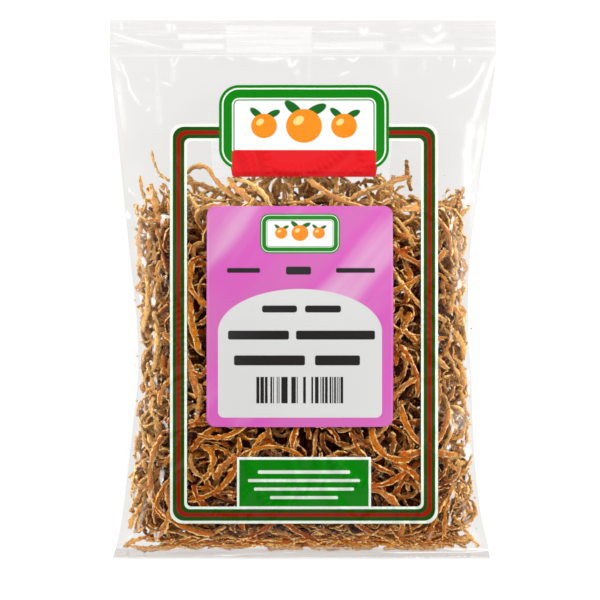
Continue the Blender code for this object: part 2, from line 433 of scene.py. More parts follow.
Operand = Union[Value, float]
Socket = Union[Value, float, tuple]


class Paint:
    """The nodes of one material."""

    def __init__(self, name: str) -> None:
        """Starts an empty material of this name."""
        self.material = bpy.data.materials.new(name)
        self.material.use_nodes = True
        self.tree = self.material.node_tree
        self.tree.nodes.clear()

    def node(self, kind: str, settings: dict = {}, values: dict = {}, out: Union[int, str] = 0) -> Value:
        """Adds one node.

        Args:
            kind: the node's type.
            settings: its own settings, which are set first.
            values: its sockets, by name or number, each with a value or a link.
            out: the output that is returned.

        Returns:
            That output.
        """
        made = self.tree.nodes.new(kind)
        for name, setting in settings.items():
            setattr(made, name, setting)
        for name, value in values.items():
            if isinstance(value, Value):
                self.tree.links.new(value.socket, made.inputs[name])
            elif isinstance(value, tuple) and len(value) == 3 and made.inputs[name].type == "RGBA":
                made.inputs[name].default_value = (*value, 1.0)
            else:
                made.inputs[name].default_value = value
        return Value(self, made.outputs[out])

    def maths(self, operation: str, *operands: Operand) -> Value:
        """One Math node on values or numbers."""
        return self.node("ShaderNodeMath", {"operation": operation}, dict(enumerate(operands)))

    def mix(self, share: Operand, first: Socket, second: Socket) -> Value:
        """The first colour, with this share of the second."""
        settings = {"data_type": "RGBA"}
        return self.node("ShaderNodeMix", settings, {0: share, 6: first, 7: second}, out=2)

    def place(self, scale: tuple[float, float, float] = (1, 1, 1)) -> Value:
        """Object coordinates, in metres, stretched."""
        return self.mapped(self.node("ShaderNodeTexCoord", out="Object"), scale)

    def mapped(self, raw: Value, scale: tuple[float, float, float], turn: float = 0.0) -> Value:
        """Coordinates turned about Z and stretched."""
        return self.node("ShaderNodeMapping", {}, {"Vector": raw, "Rotation": (0, 0, turn), "Scale": scale})

    def noise(self, at: Value, scale: float, detail: float = 2.0, rough: float = 0.5) -> Value:
        """Smooth noise from 0 to 1 at coordinates."""
        values = {"Vector": at, "Scale": scale, "Detail": detail, "Roughness": rough}
        return self.node("ShaderNodeTexNoise", {}, values)

    def marks(
        self, stretch: tuple[float, float, float], detail: float, rough: float, low: float, high: float
    ) -> Value:
        """Marks made from stretched noise: 0 where it is below low, 1 where it is above high."""
        return self.noise(self.place(stretch), 1.0, detail, rough).ramp(low, high)

    def uv(self, name: str) -> tuple[Value, Value]:
        """The two coordinates of a UV map, as values."""
        raw = self.node("ShaderNodeUVMap", {"uv_map": name})
        return self.parts(raw)

    def parts(self, vector: Value) -> tuple[Value, Value]:
        """The X and Y of a vector."""
        x = self.node("ShaderNodeSeparateXYZ", {}, {0: vector}, out=0)
        return x, Value(self, x.socket.node.outputs[1])

    def attribute(self, name: str) -> Value:
        """A value stored on the piece's points."""
        return self.node("ShaderNodeAttribute", {"attribute_name": name}, out="Fac")

    def bump(self, height: Value, distance: float, strength: float = 1.0) -> Value:
        """The normal of a surface with this relief."""
        values = {"Height": height, "Distance": distance, "Strength": strength}
        return self.node("ShaderNodeBump", {}, values)

    def solid(self, **values: Socket) -> Value:
        """A Principled surface, its sockets named with underscores for spaces."""
        names = {"specular": "Specular IOR Level"}
        named = {names.get(key, key.replace("_", " ").title()): value for key, value in values.items()}
        return self.node("ShaderNodeBsdfPrincipled", {}, named)

    def finish(self, surface: Value) -> bpy.types.Material:
        """Ends the material with this surface."""
        made = self.tree.nodes.new("ShaderNodeOutputMaterial")
        self.tree.links.new(surface.socket, made.inputs["Surface"])
        return self.material


class Drawing:
    """Flat shapes on a surface, in pixels of the picture from its middle: X right and Y up.

    A shape's edge is a short ramp, whose half width is the field soft.
    """

    soft: float = 0.35

    def __init__(self, paint: Paint) -> None:
        """Reads the piece's picture coordinates."""
        self.paint = paint
        u, v = paint.uv("picture")
        self.x, self.y = u * 100.0, v * 100.0

    def box(self, x0: float, x1: float, y0: float, y1: float, corner: float = 0.0) -> Value:
        """1 inside a box with round corners, 0 outside.

        Args:
            x0: left side.
            x1: right side.
            y0: lower side.
            y1: upper side.
            corner: radius of the corners.

        Returns:
            The mask.
        """
        dx = (abs(self.x - (x0 + x1) / 2) - ((x1 - x0) / 2 - corner)).at_least(0.0)
        dy = (abs(self.y - (y0 + y1) / 2) - ((y1 - y0) / 2 - corner)).at_least(0.0)
        if corner:
            return ((dx * dx + dy * dy) ** 0.5 - corner).ramp(self.soft, -self.soft)
        return dx.at_least(dy).ramp(2 * self.soft, 0.0)

    def oval(self, x: float, y: float, wide: float, high: float, turn: float = 0.0) -> Value:
        """1 inside an oval with these half sizes, turned by an angle.

        Args:
            x: its middle, across.
            y: its middle, up.
            wide: half its width.
            high: half its height.
            turn: the angle.

        Returns:
            The mask.
        """
        c, s = math.cos(turn), math.sin(turn)
        along = (self.x - x) * c + (self.y - y) * s
        over = (self.y - y) * c - (self.x - x) * s
        reach = ((along * (1 / wide)) ** 2.0 + (over * (1 / high)) ** 2.0) ** 0.5
        soft = 0.4 / min(wide, high)
        return reach.ramp(1 + soft, 1 - soft)


@dataclass(frozen=True)
class PeelFinish:
    """Dried orange peel: orange-brown rind on one side, pale tan pith on the other."""

    rind_light: Colour = srgb(255, 160, 42)
    rind_dark: Colour = srgb(174, 73, 11)
    pith_light: Colour = srgb(255, 195, 107)
    pith_dark: Colour = srgb(216, 108, 27)
    pore: Colour = srgb(118, 44, 5)
    pale: Colour = srgb(255, 214, 142)
    # Colour of the painted shade, deep in the heap and away from its edge.
    painted_shade: Colour = srgb(102, 25, 0)
    stain_share: float = 0.66
    pore_share: float = 0.62
    cut_share: float = 0.92
    # Share of pale painted light near the heap's edge.
    painted_light_share: float = 0.38
    painted_shade_share: float = 0.86

    def build(self) -> bpy.types.Material:
        """Colour by side, strip, fibre and grain, with stains and pores and pale cut edges.

        Painted light makes it paler near the heap's edge, and painted shade makes it darker and redder away
        from the edge and deep in the heap.

        Returns:
            The material.
        """
        paint = Paint("dried_peel")
        side, tone = paint.attribute("rind"), paint.attribute("tone")
        place = paint.place()
        patches = paint.noise(place, 420.0, 3.0, 0.6)
        blotches = paint.noise(place, 230.0, 2.0, 0.5)
        grain = paint.noise(place, 1150.0, 2.0, 0.6)
        strip = paint.node("ShaderNodeUVMap", {"uv_map": "strip"})
        over = paint.parts(strip)[1]
        fibres = paint.noise(paint.mapped(strip, (1.1, 2.4, 1)), 4.0, 3.0, 0.6)
        mottle = (patches * 1.7 + tone * 0.9 + fibres * 1.3 + grain * 0.9 - 1.95).ramp(0.02, 0.88)
        rind = paint.mix(mottle, self.rind_dark, self.rind_light)
        pith = paint.mix(mottle, self.pith_dark, self.pith_light)
        cut = (abs(over - 0.5) * 2.0 + (patches - 0.5) * 1.3 + (blotches - 0.5) * 1.2).ramp(0.50, 0.90)
        worn = (side - cut * 0.6 + (fibres - 0.5) * 0.9 + (blotches - 0.5) * 1.6).ramp(0.22, 0.78)
        colour = paint.mix(worn, pith, rind)
        stains = (patches * 1.1 + fibres * 0.7 + blotches * 0.6 - 1.2).ramp(-0.06, 0.14)
        colour = paint.mix(stains * (1 - cut * 0.8) * self.stain_share, colour, self.pore)
        colour = paint.mix(grain.ramp(0.54, 0.66) * self.pore_share, colour, self.pore)
        colour = paint.mix(cut * grain.ramp(0.62, 0.48) * self.cut_share, colour, self.pale)
        # Painted light: paler near the heap's edge, where the heap is thin.
        edge = paint.attribute("edge")
        colour = paint.mix(edge * self.painted_light_share, colour, self.pale)
        # Painted shade: darker red-brown away from the heap's edge, less on the pale cut edges.
        colour = paint.mix((1 - edge) * (0.47 - cut * 0.27), colour, self.painted_shade)
        # Painted shade: darker red-brown deep below the front film, less near the heap's edge.
        shade = paint.attribute("deep").ramp(0.03, 0.80) * (1 - edge * 0.55)
        colour = paint.mix(shade * self.painted_shade_share, colour, self.painted_shade)
        relief = patches * 0.5 + fibres * 0.8 - grain * 0.9
        return paint.finish(paint.solid(
            base_color=colour, roughness=0.7, specular=0.03, normal=paint.bump(relief, 0.0008, 1.0),
        ))


@dataclass(frozen=True)
class FilmFinish:
    """Clear film: nearly all light goes through; the rest is glossy glare, painted highlights and glints,
    painted shadow streaks in the low seal, and a little haze.
    """

    clear: float = 0.0012
    through: Colour = (0.912, 0.908, 0.899)
    body: Colour = (0.72, 0.72, 0.71)
    painted_low_seal_shadow: Colour = (0.34, 0.28, 0.25)
    side_gloss: float = 0.38
    painted_sheen_share: float = 0.42
    painted_streak_share: float = 0.12
    painted_glint_share: float = 0.42
    least_haze: float = 0.0003
    form: Pillow = field(default_factory=Pillow)

    def build(self) -> bpy.types.Material:
        """Gloss that grows towards the sides, painted highlights on folds and seals, painted glints beside
        the frame, painted shadow streaks and glints in the low seal, and a little haze.

        Returns:
            The material.
        """
        paint = Paint("clear_film")
        place = paint.place()
        y = paint.parts(place)[1]
        top = self.form.half_length - self.form.top_seal
        in_seal = y.ramp(top - 0.0003, top + 0.0003)
        streaks = paint.marks((45, 1400, 1), 2.5, 0.55, 0.50, 0.72)
        low = -self.form.half_length
        low_band = y.ramp(low + 0.0046, low + 0.0034) * y.ramp(low, low + 0.0006)
        glints = paint.marks((26, 950, 1), 2.0, 0.5, 0.55, 0.66)
        # Grey breaks in the painted glare of the top seal.
        glare_breaks = paint.marks((40, 1900, 1), 2.0, 0.5, 0.60, 0.70)
        # sheen is the painted highlight of folds, glare patches and side margins.
        sheen = paint.attribute("sheen") * (1 - glare_breaks * (0.25 + in_seal * 0.60))
        margin_glints = paint.marks((330, 130, 1), 1.5, 0.5, 0.62, 0.70)
        # Painted light: white highlights on folds and seal streaks, painted shadow streaks and glints in the
        # low seal, painted glints beside the frame, and a faint haze.
        haze_and_painted_light = sheen * self.painted_sheen_share + in_seal * streaks * self.painted_streak_share
        haze_and_painted_light = haze_and_painted_light + low_band * (0.20 + glints * 0.38) + self.least_haze
        haze_and_painted_light = haze_and_painted_light + paint.attribute("rim") * margin_glints * self.painted_glint_share
        facing = paint.node("ShaderNodeLayerWeight", {}, {"Blend": 0.5}, out="Facing")
        gloss = self.clear + facing**5.0 * self.side_gloss
        share = (gloss + haze_and_painted_light).at_most(0.92)
        metal = paint.maths("DIVIDE", gloss, gloss + haze_and_painted_light)
        ripples = paint.noise(place, 70.0, 0.0)
        # Painted shadow: grey-brown streaks in the low seal, where it does not glint.
        colour = paint.mix(low_band * (1 - glints), self.body, self.painted_low_seal_shadow)
        body = paint.solid(
            base_color=colour, metallic=metal, roughness=0.12, normal=paint.bump(ripples, 0.001, 0.3),
        )
        glass = paint.node("ShaderNodeBsdfTransparent", {}, {"Color": self.through})
        return paint.finish(paint.node("ShaderNodeMixShader", {}, {0: share, 1: glass, 2: body}))


class Ink(Enum):
    """The colours printed on the film."""

    GREEN = srgb(0, 95, 1)
    DEEP_GREEN = srgb(10, 74, 17)
    BAND_WHITE = srgb(180, 187, 177)
    BAND_GREEN = srgb(14, 55, 0)
    BAND_RED = srgb(115, 7, 0)
    BAR_RED = srgb(168, 15, 21)
    WHITE = srgb(185, 189, 183)
    ORANGE = srgb(190, 105, 14)
    BLACK = srgb(20, 18, 18)
    FRUIT_SHINE = srgb(228, 190, 124)
    BAR_SHADOW = srgb(133, 9, 12)


@dataclass(frozen=True)
class StripedInk:
    """The frame's stripes: white, green, red, green and white from its outer to its inner edge."""

    edges: tuple[float, ...] = (0.165, 0.395, 0.620, 0.845)

    def build(self) -> bpy.types.Material:
        """Stripes by the distance across the band.

        Returns:
            The material.
        """
        paint = Paint("frame_print")
        across = paint.uv("band")[0]
        inks = (Ink.BAND_WHITE, Ink.BAND_GREEN, Ink.BAND_RED, Ink.BAND_GREEN, Ink.BAND_WHITE)
        colour: Socket = inks[0].value
        for edge, ink in zip(self.edges, inks[1:]):
            colour = paint.mix(across.ramp(edge - 0.012, edge + 0.012), colour, ink.value)
        wear = paint.noise(paint.place(), 900.0, 2.0) * 0.12 + 0.42
        return paint.finish(paint.solid(base_color=colour, roughness=wear, specular=0.04))


@dataclass(frozen=True)
class FruitPlaqueInk:
    """A plain plaque: a green border with a white line, and a row of oranges with leaves."""

    x: float
    y: float
    wide: float
    high: float

    def drawn(self, drawing: Drawing, ground: Socket) -> Value:
        """The plaque's colours over a ground colour.

        Args:
            drawing: the surface's picture coordinates.
            ground: colour round the plaque.

        Returns:
            The colour with the plaque on it.
        """
        paint, x, y, a, b = drawing.paint, self.x, self.y, self.wide / 2, self.high / 2
        unit = self.wide / 170
        corner = 20 * unit
        colour = paint.mix(drawing.box(x - a, x + a, y - b, y + b, corner), ground, Ink.GREEN.value)
        rings = (
            (3.0, Ink.WHITE), (4.4, Ink.GREEN), (13.0, Ink.WHITE), (14.4, Ink.GREEN), (15.6, Ink.WHITE),
        )
        for inset, ink in rings:
            d = inset * unit
            mask = drawing.box(x - a + d, x + a - d, y - b + d, y + b - d, max(corner - d, 3 * unit))
            colour = paint.mix(mask, colour, ink.value)
        for shift, size in ((-40, 13), (40, 13), (0, 18)):
            cx, cy, r = x + shift * unit, y + 1 * unit, size * unit
            for lean in (0.45, 2.45):
                lx, ly = cx + 0.75 * r * math.cos(lean), cy + r * 0.75 + 0.35 * r * math.sin(lean)
                leaf = drawing.oval(lx, ly, 0.62 * r, 0.26 * r, lean)
                colour = paint.mix(leaf, colour, Ink.DEEP_GREEN.value)
            colour = paint.mix(drawing.oval(cx, cy, r, r * 0.94), colour, Ink.ORANGE.value)
            shine = drawing.oval(cx - 0.3 * r, cy + 0.3 * r, 0.32 * r, 0.22 * r, 0.6)
            colour = paint.mix(shine * 0.6, colour, Ink.FRUIT_SHINE.value)
        return colour


@dataclass(frozen=True)
class PlaqueFinish:
    """The plaque on the film."""

    ink: FruitPlaqueInk

    def build(self) -> bpy.types.Material:
        """The plaque, with a plain red bar over its lower edge.

        Returns:
            The material.
        """
        paint = Paint("plaque_print")
        drawing = Drawing(paint)
        colour = self.ink.drawn(drawing, Ink.GREEN.value)
        bar = drawing.box(-68.0, 76.0, 123.0, 150.0, 3.0)
        shadow = drawing.box(-68.0, 76.0, 123.0, 128.0)
        colour = paint.mix(bar, colour, Ink.BAR_RED.value)
        colour = paint.mix(shadow * bar * 0.55, colour, Ink.BAR_SHADOW.value)
        return paint.finish(paint.solid(base_color=colour, roughness=0.48, specular=0.04))


@dataclass(frozen=True)
class PanelFinish:
    """The green panel with a white border and plain white rules, each as (middle, half length, height)."""

    rules: tuple[tuple[float, float, float], ...] = (
        (-172.0, 46.0, 3.4), (-180.5, 56.0, 3.0), (-189.0, 50.0, 3.0), (-197.5, 34.0, 3.0),
    )

    def build(self) -> bpy.types.Material:
        """Green inside a white border.

        Returns:
            The material.
        """
        paint = Paint("panel_print")
        drawing = Drawing(paint)
        fill = drawing.box(-60.4, 68.3, -206.0, -160.0)
        colour = paint.mix(fill, Ink.WHITE.value, Ink.GREEN.value)
        for y, half, high in self.rules:
            rule = drawing.box(4 - half, 4 + half, y - high / 2, y + high / 2, 1.2)
            colour = paint.mix(rule * 0.85, colour, Ink.WHITE.value)
        return paint.finish(paint.solid(base_color=colour, roughness=0.48, specular=0.04))


@dataclass(frozen=True)
class StickerFinish:
    """The sticker's print: pink with pale streaks, a pale arched panel, plain bars and a bar pattern."""

    deep: Colour = srgb(157, 76, 136)
    middle: Colour = srgb(160, 67, 139)
    pale: Colour = srgb(168, 127, 155)
    panel: Colour = srgb(164, 164, 163)

    def build(self) -> bpy.types.Material:
        """All the print in one satin surface.

        Returns:
            The material.
        """
        paint = Paint("sticker_print")
        drawing = Drawing(paint)
        raw = paint.node("ShaderNodeUVMap", {"uv_map": "picture"})
        turned = paint.mapped(raw, (1, 1, 1), math.radians(-52))
        bands = paint.noise(paint.mapped(turned, (0.32, 1.5, 1)), 1.0, 1.0, 0.4)
        fine = paint.noise(paint.mapped(turned, (0.5, 5.0, 1)), 1.0, 2.0, 0.5)
        cloud = paint.noise(paint.mapped(raw, (0.9, 0.9, 1)), 1.2, 0.0)
        light = bands * 0.8 + fine * 0.14 + cloud * 0.2
        colour = paint.mix(light.ramp(0.46, 0.60), self.deep, self.middle)
        colour = paint.mix(light.ramp(0.58, 0.76), colour, self.pale)
        colour = paint.mix(self.arch(drawing), colour, self.panel)
        colour = FruitPlaqueInk(0.0, 66.5, 80.0, 40.0).drawn(drawing, colour)
        for mask in self.bars(drawing):
            colour = paint.mix(mask, colour, Ink.BLACK.value)
        colour = paint.mix(self.code(drawing), colour, Ink.BLACK.value)
        return paint.finish(paint.solid(base_color=colour, roughness=0.45, specular=0.2))

    def arch(self, drawing: Drawing) -> Value:
        """The panel: straight sides, round lower corners and a flat arch on top."""
        low = drawing.box(-82.0, 82.0, -117.6, -30.0, 6.0)
        return low.at_least(drawing.oval(0.0, -32.0, 82.0, 43.0) * drawing.y.ramp(-60.0, -59.0))

    def bars(self, drawing: Drawing) -> list[Value]:
        """Plain bars, as (left, right, lower, upper, corner)."""
        places = (
            (-73, -40, 27.2, 32.0, 1.5), (-14, 11, 25.4, 33.4, 2.0), (36, 75, 27.2, 32.0, 1.5),
            (-38, -3, -12.5, -5.5, 2.5), (5, 41, -12.5, -5.5, 2.5),
            (-72, -11, -39.6, -30.6, 2.0), (-4, 75, -39.6, -30.6, 2.0),
            (-66, 5, -65.4, -55.4, 2.0), (15, 60, -65.4, -55.4, 2.0),
        )
        return [drawing.box(a, b, low, high, corner) for a, b, low, high, corner in places]

    def code(self, drawing: Drawing) -> Value:
        """Upright lines of chance widths, each a whole number of modules wide.

        Args:
            drawing: the picture coordinates.

        Returns:
            The mask.
        """
        paint = drawing.paint
        module = paint.maths("FLOOR", (drawing.x + 43.3) * (95 / 86.5))
        chance = paint.node("ShaderNodeTexWhiteNoise", {"noise_dimensions": "1D"}, {"W": module + 0.5}, out=0)
        lines = chance.ramp(0.5, 0.51)
        return lines * drawing.box(-43.3, 43.2, -103.0, -77.2)


@dataclass(frozen=True)
class FloorFinish:
    """The plain pale floor."""

    colour: Colour = (0.08, 0.08, 0.08)
    glow: float = 0.898

    def build(self) -> bpy.types.Material:
        """A matt surface with the faintest mottle.

        Returns:
            The material.
        """
        paint = Paint("pale_floor")
        mottle = paint.noise(paint.place(), 3.0, 1.0) * 0.01
        colour = paint.mix(mottle, self.colour, (1.0, 1.0, 1.0))
        return paint.finish(paint.solid(
            base_color=colour, roughness=0.9, specular=0.1, emission_color=(1.0, 1.0, 1.0),
            emission_strength=self.glow,
        ))


def quads_of_grid(rows: int, columns: int, around: bool = False) -> NDArray[np.int64]:
    """Quads between neighbouring rows and columns of a grid of points.

    Args:
        rows: number of rows.
        columns: number of points in a row.
        around: whether each row closes on itself.

    Returns:
        The quads, as (count, 4), facing up where columns run along +X and rows along +Y.
    """
    ahead = columns if around else columns - 1
    row, column = np.meshgrid(np.arange(rows - 1), np.arange(ahead), indexing="ij")
    a = (row * columns + column).ravel()
    b = (row * columns + (column + 1) % columns).ravel()
    return np.stack([a, b, b + columns, a + columns], 1)


@dataclass
class Piece:
    """A mesh with its layers, on its way to becoming a named object that rides with the part."""

    name: str
    points: Array
    faces: list[NDArray[np.int64]]
    slot: str
    maps: dict[str, Array] = field(default_factory=dict)
    values: dict[str, Array] = field(default_factory=dict)

    def build(self, material: bpy.types.Material) -> bpy.types.Object:
        """Makes the object.

        Args:
            material: its finish.

        Returns:
            The object, at the origin, riding on the part's one body.
        """
        mesh = bpy.data.meshes.new(self.name)
        points = self.points.reshape(-1, 3)
        corners = np.concatenate([faces.ravel() for faces in self.faces])
        sizes = np.concatenate([np.full(len(faces), faces.shape[1]) for faces in self.faces])
        mesh.vertices.add(len(points))
        mesh.vertices.foreach_set("co", points.ravel())
        mesh.loops.add(len(corners))
        mesh.loops.foreach_set("vertex_index", corners)
        mesh.polygons.add(len(sizes))
        mesh.polygons.foreach_set("loop_start", np.cumsum(sizes) - sizes)
        mesh.update(calc_edges=True)
        mesh.validate()
        mesh.shade_smooth()
        for name, pairs in self.maps.items():
            layer = mesh.uv_layers.new(name=name)
            layer.data.foreach_set("uv", pairs.reshape(-1, 2)[corners].ravel())
        for name, numbers in self.values.items():
            mesh.attributes.new(name, "FLOAT", "POINT").data.foreach_set("value", numbers.ravel())
        mesh.materials.append(material)
        made = bpy.data.objects.new(self.name, mesh)
        bpy.context.scene.collection.objects.link(made)
        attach(made, "root")
        LOG.info("%s: %d triangles", self.name, len(corners) - 2 * len(sizes))
        return made


@dataclass(frozen=True)
class Fold:
    """A mark on the slack film: a smooth line through pixels, with the shine of its painted highlight, its
    half width and its height.
    """

    through: tuple[tuple[float, float], ...]
    shine: float = 0.5
    wide: float = 1.2
    height: float = 0.0003


@dataclass(frozen=True)
class GlarePatch:
    """A painted glare patch on the film: its left, right, upper and lower sides in pixels, with its shine."""

    box: tuple[float, float, float, float]
    shine: float
    soft: float = 1.5


@dataclass(frozen=True)
class Creases:
    """The folds of the slack film and of its top seal, with their painted highlights, and its painted glare
    patches.
    """

    camera: Overhead
    # Painted sheen along the side margins.
    margin_shine: float = 0.015
    folds: tuple[Fold, ...] = (
        Fold(((120, 60), (127, 77), (131, 91), (141, 106)), 0.75, 1.0, 0.0006),
        Fold(((113, 56), (117, 66), (121, 72)), 0.5, 1.6),
        Fold(((118, 76), (121, 100), (125, 128)), 0.35, 2.6, 0.0006),
        Fold(((171, 57), (173, 66), (179, 57)), 0.55, 1.4),
        Fold(((174, 68), (173, 82)), 0.3, 2.4, 0.0002),
        Fold(((155, 57), (157, 78), (157, 94)), 0.2, 1.2, 0.0002),
        Fold(((157, 87), (157, 94)), 0.35, 1.2, 0.0),
        Fold(((144, 78), (150, 81)), 0.5, 1.0),
        Fold(((160, 82), (173, 86)), 0.45, 1.0),
        Fold(((147, 111), (150, 107)), 0.6, 1.8, 0.0),
        Fold(((158, 96), (160, 126)), 0.22, 3.0, 0.0003),
        Fold(((485, 63), (479, 74), (471, 85), (460, 92), (449, 98)), 0.95, 1.6, 0.0008),
        Fold(((495, 57), (487, 80), (479, 104), (473, 124)), 0.9, 2.0, 0.0006),
        Fold(((473, 122), (469, 138), (467, 168), (468, 205)), 0.8, 4.2, 0.0004),
        Fold(((482, 120), (476, 170), (471, 240)), 0.35, 4.0, 0.0003),
        Fold(((455, 59), (454, 68)), 0.6, 1.0),
        Fold(((338, 76), (350, 72)), 0.5, 1.3, 0.0002),
        Fold(((347, 58), (353, 61), (359, 57)), 0.7, 1.5),
        Fold(((322, 59), (336, 59)), 0.6, 1.2),
        Fold(((438, 57), (441, 60)), 0.5, 1.4),
        Fold(((469, 58), (471, 63)), 0.4, 1.6),
        Fold(((395, 56), (396, 78)), 0.2, 3.0, 0.0002),
        Fold(((425, 56), (424, 72)), 0.2, 2.4, 0.0002),
        Fold(((228, 57), (233, 60)), 0.7, 1.3),
        Fold(((208, 58), (215, 57)), 0.6, 1.3),
        Fold(((249, 58), (267, 60), (286, 58)), 0.85, 2.0),
        Fold(((288, 57), (291, 66), (298, 60)), 0.8, 2.0),
        Fold(((295, 70), (299, 74)), 0.35, 3.0, 0.0),
        Fold(((311, 24), (310, 56), (309, 86)), 0.25, 1.2, 0.0004),
        Fold(((110, 55.8), (240, 55.6), (493, 55.8)), 0.5, 0.9, 0.0003),
        Fold(((112, 33), (132, 40), (168, 49)), 0.6, 1.1, 0.0002),
        Fold(((112, 39), (140, 44), (160, 48)), 0.45, 1.2, 0.0002),
        Fold(((320, 31.6), (352, 31.6)), 0.7, 0.9, 0.0002),
        Fold(((366, 34), (384, 34.5)), 0.7, 0.9, 0.0002),
        Fold(((121, 23), (122, 30)), 0.6, 1.5),
        Fold(((169, 24), (169, 32)), 0.7, 2.2),
        Fold(((174, 25), (175, 32)), 0.7, 1.6),
        Fold(((360, 28), (364, 34), (367, 28)), 0.8, 2.4),
        Fold(((434, 28), (437, 31), (441, 25)), 0.85, 1.8),
        Fold(((421, 35), (432, 42), (446, 33)), 0.6, 3.0),
        Fold(((400, 31), (412, 29)), 0.35, 2.0),
        Fold(((138, 200), (141, 290), (140, 380), (140, 470)), 0.16, 3.0, 0.0003),
        Fold(((470, 300), (468, 380), (470, 470)), 0.16, 3.0, 0.0003),
        Fold(((124, 540), (138, 528), (146, 500)), 0.35, 2.0, 0.0005),
        Fold(((482, 542), (468, 526), (462, 500)), 0.35, 2.0, 0.0005),
        Fold(((140, 232), (138, 250), (140, 266)), 0.30, 6.0, 0.0),
        Fold(((456, 236), (462, 262), (460, 292)), 0.22, 7.0, 0.0),
        Fold(((452, 414), (460, 420), (464, 428)), 0.32, 6.0, 0.0),
        Fold(((146, 398), (143, 412)), 0.2, 5.0, 0.0),
        Fold(((130, 551), (210, 553), (300, 549.5), (400, 552.5), (480, 551)), 0.55, 1.1, 0.0003),
        Fold(((118, 556), (200, 557), (300, 554), (420, 556.5), (486, 555)), 0.4, 0.9, 0.0002),
    )
    patches: tuple[GlarePatch, ...] = (
        GlarePatch((226, 312, 26, 53.0), 0.44, 1.4),
        GlarePatch((178, 224, 34, 39), 0.6),
        GlarePatch((183, 224, 43.5, 49), 0.6),
        GlarePatch((313, 384, 42, 50), 0.5, 2.5),
        GlarePatch((400, 455, 44, 51), 0.5, 2.5),
        GlarePatch((463, 495, 47, 50.5), 0.5),
    )

    def line(self, fold: Fold, form: Pillow) -> Array:
        """Points of a fold on the bag, less than half a pixel apart.

        Args:
            fold: the fold.
            form: the bag's form.

        Returns:
            The points, as (step, 2).
        """
        knots = np.array(fold.through, float)
        pixels = np.linalg.norm(np.diff(knots, axis=0), axis=1).sum()
        at = np.linspace(0, len(knots) - 1, max(90, int(2.5 * pixels)))
        steps = tuple(zip(range(len(knots)), knots[:, 0])), tuple(zip(range(len(knots)), knots[:, 1]))
        x, y = self.camera.onto(form.front_base, smooth_through(steps[0], at), smooth_through(steps[1], at))
        return np.stack([x, y], 1)

    def traced(self, form: Pillow, x: Array, y: Array, shine: bool) -> Array:
        """The sum of all folds: bell curves of the distance to each line, fading towards its ends.

        Args:
            form: the bag's form.
            x: places across the bag.
            y: places along the bag.
            shine: whether the folds' shine is wanted rather than their height.

        Returns:
            Their shine, or the height that they add.
        """
        total = np.zeros_like(x)
        for fold in self.folds:
            amount = fold.shine if shine else fold.height
            line = self.line(fold, form)
            spread = fold.wide * PIXEL * (1.0 if shine else 1.5)
            low, high = line.min(0) - 3 * spread, line.max(0) + 3 * spread
            near = (x > low[0]) & (x < high[0]) & (y > low[1]) & (y < high[1])
            if amount == 0 or not near.any():
                continue
            gaps = (x[near][:, None] - line[:, 0]) ** 2 + (y[near][:, None] - line[:, 1]) ** 2
            nearest = gaps.argmin(1)
            last = len(line) - 1
            fade = np.clip(np.minimum(nearest, last - nearest) / last * 6.4, 0, 1)
            bell = amount * np.exp(-gaps.min(1) / spread**2) * (0.35 + 0.65 * fade)
            total[near] = np.maximum(total[near], bell) if shine else total[near] + bell
        return total

    def sheen(self, form: Pillow, points: Array) -> Array:
        """How white the painted highlights make the film at points, from 0 to 1.

        Args:
            form: the bag's form.
            points: places in space.

        Returns:
            The whiteness.
        """
        column, row = self.camera.pixel_of(points)
        total = self.traced(form, points[..., 0], points[..., 1], True)
        for patch in self.patches:
            x0, x1, y0, y1 = patch.box
            inside = np.minimum(np.minimum(column - x0, x1 - column), np.minimum(row - y0, y1 - row))
            total = np.maximum(total, patch.shine * smooth_step(0.5 + inside / (2 * patch.soft)))
        outward = abs(form.across(points[..., 0], points[..., 1]))
        # Painted sheen along the side margins.
        margin = self.margin_shine * smooth_step((outward - 0.70) / 0.2)
        return np.clip(total + margin, 0, 1)


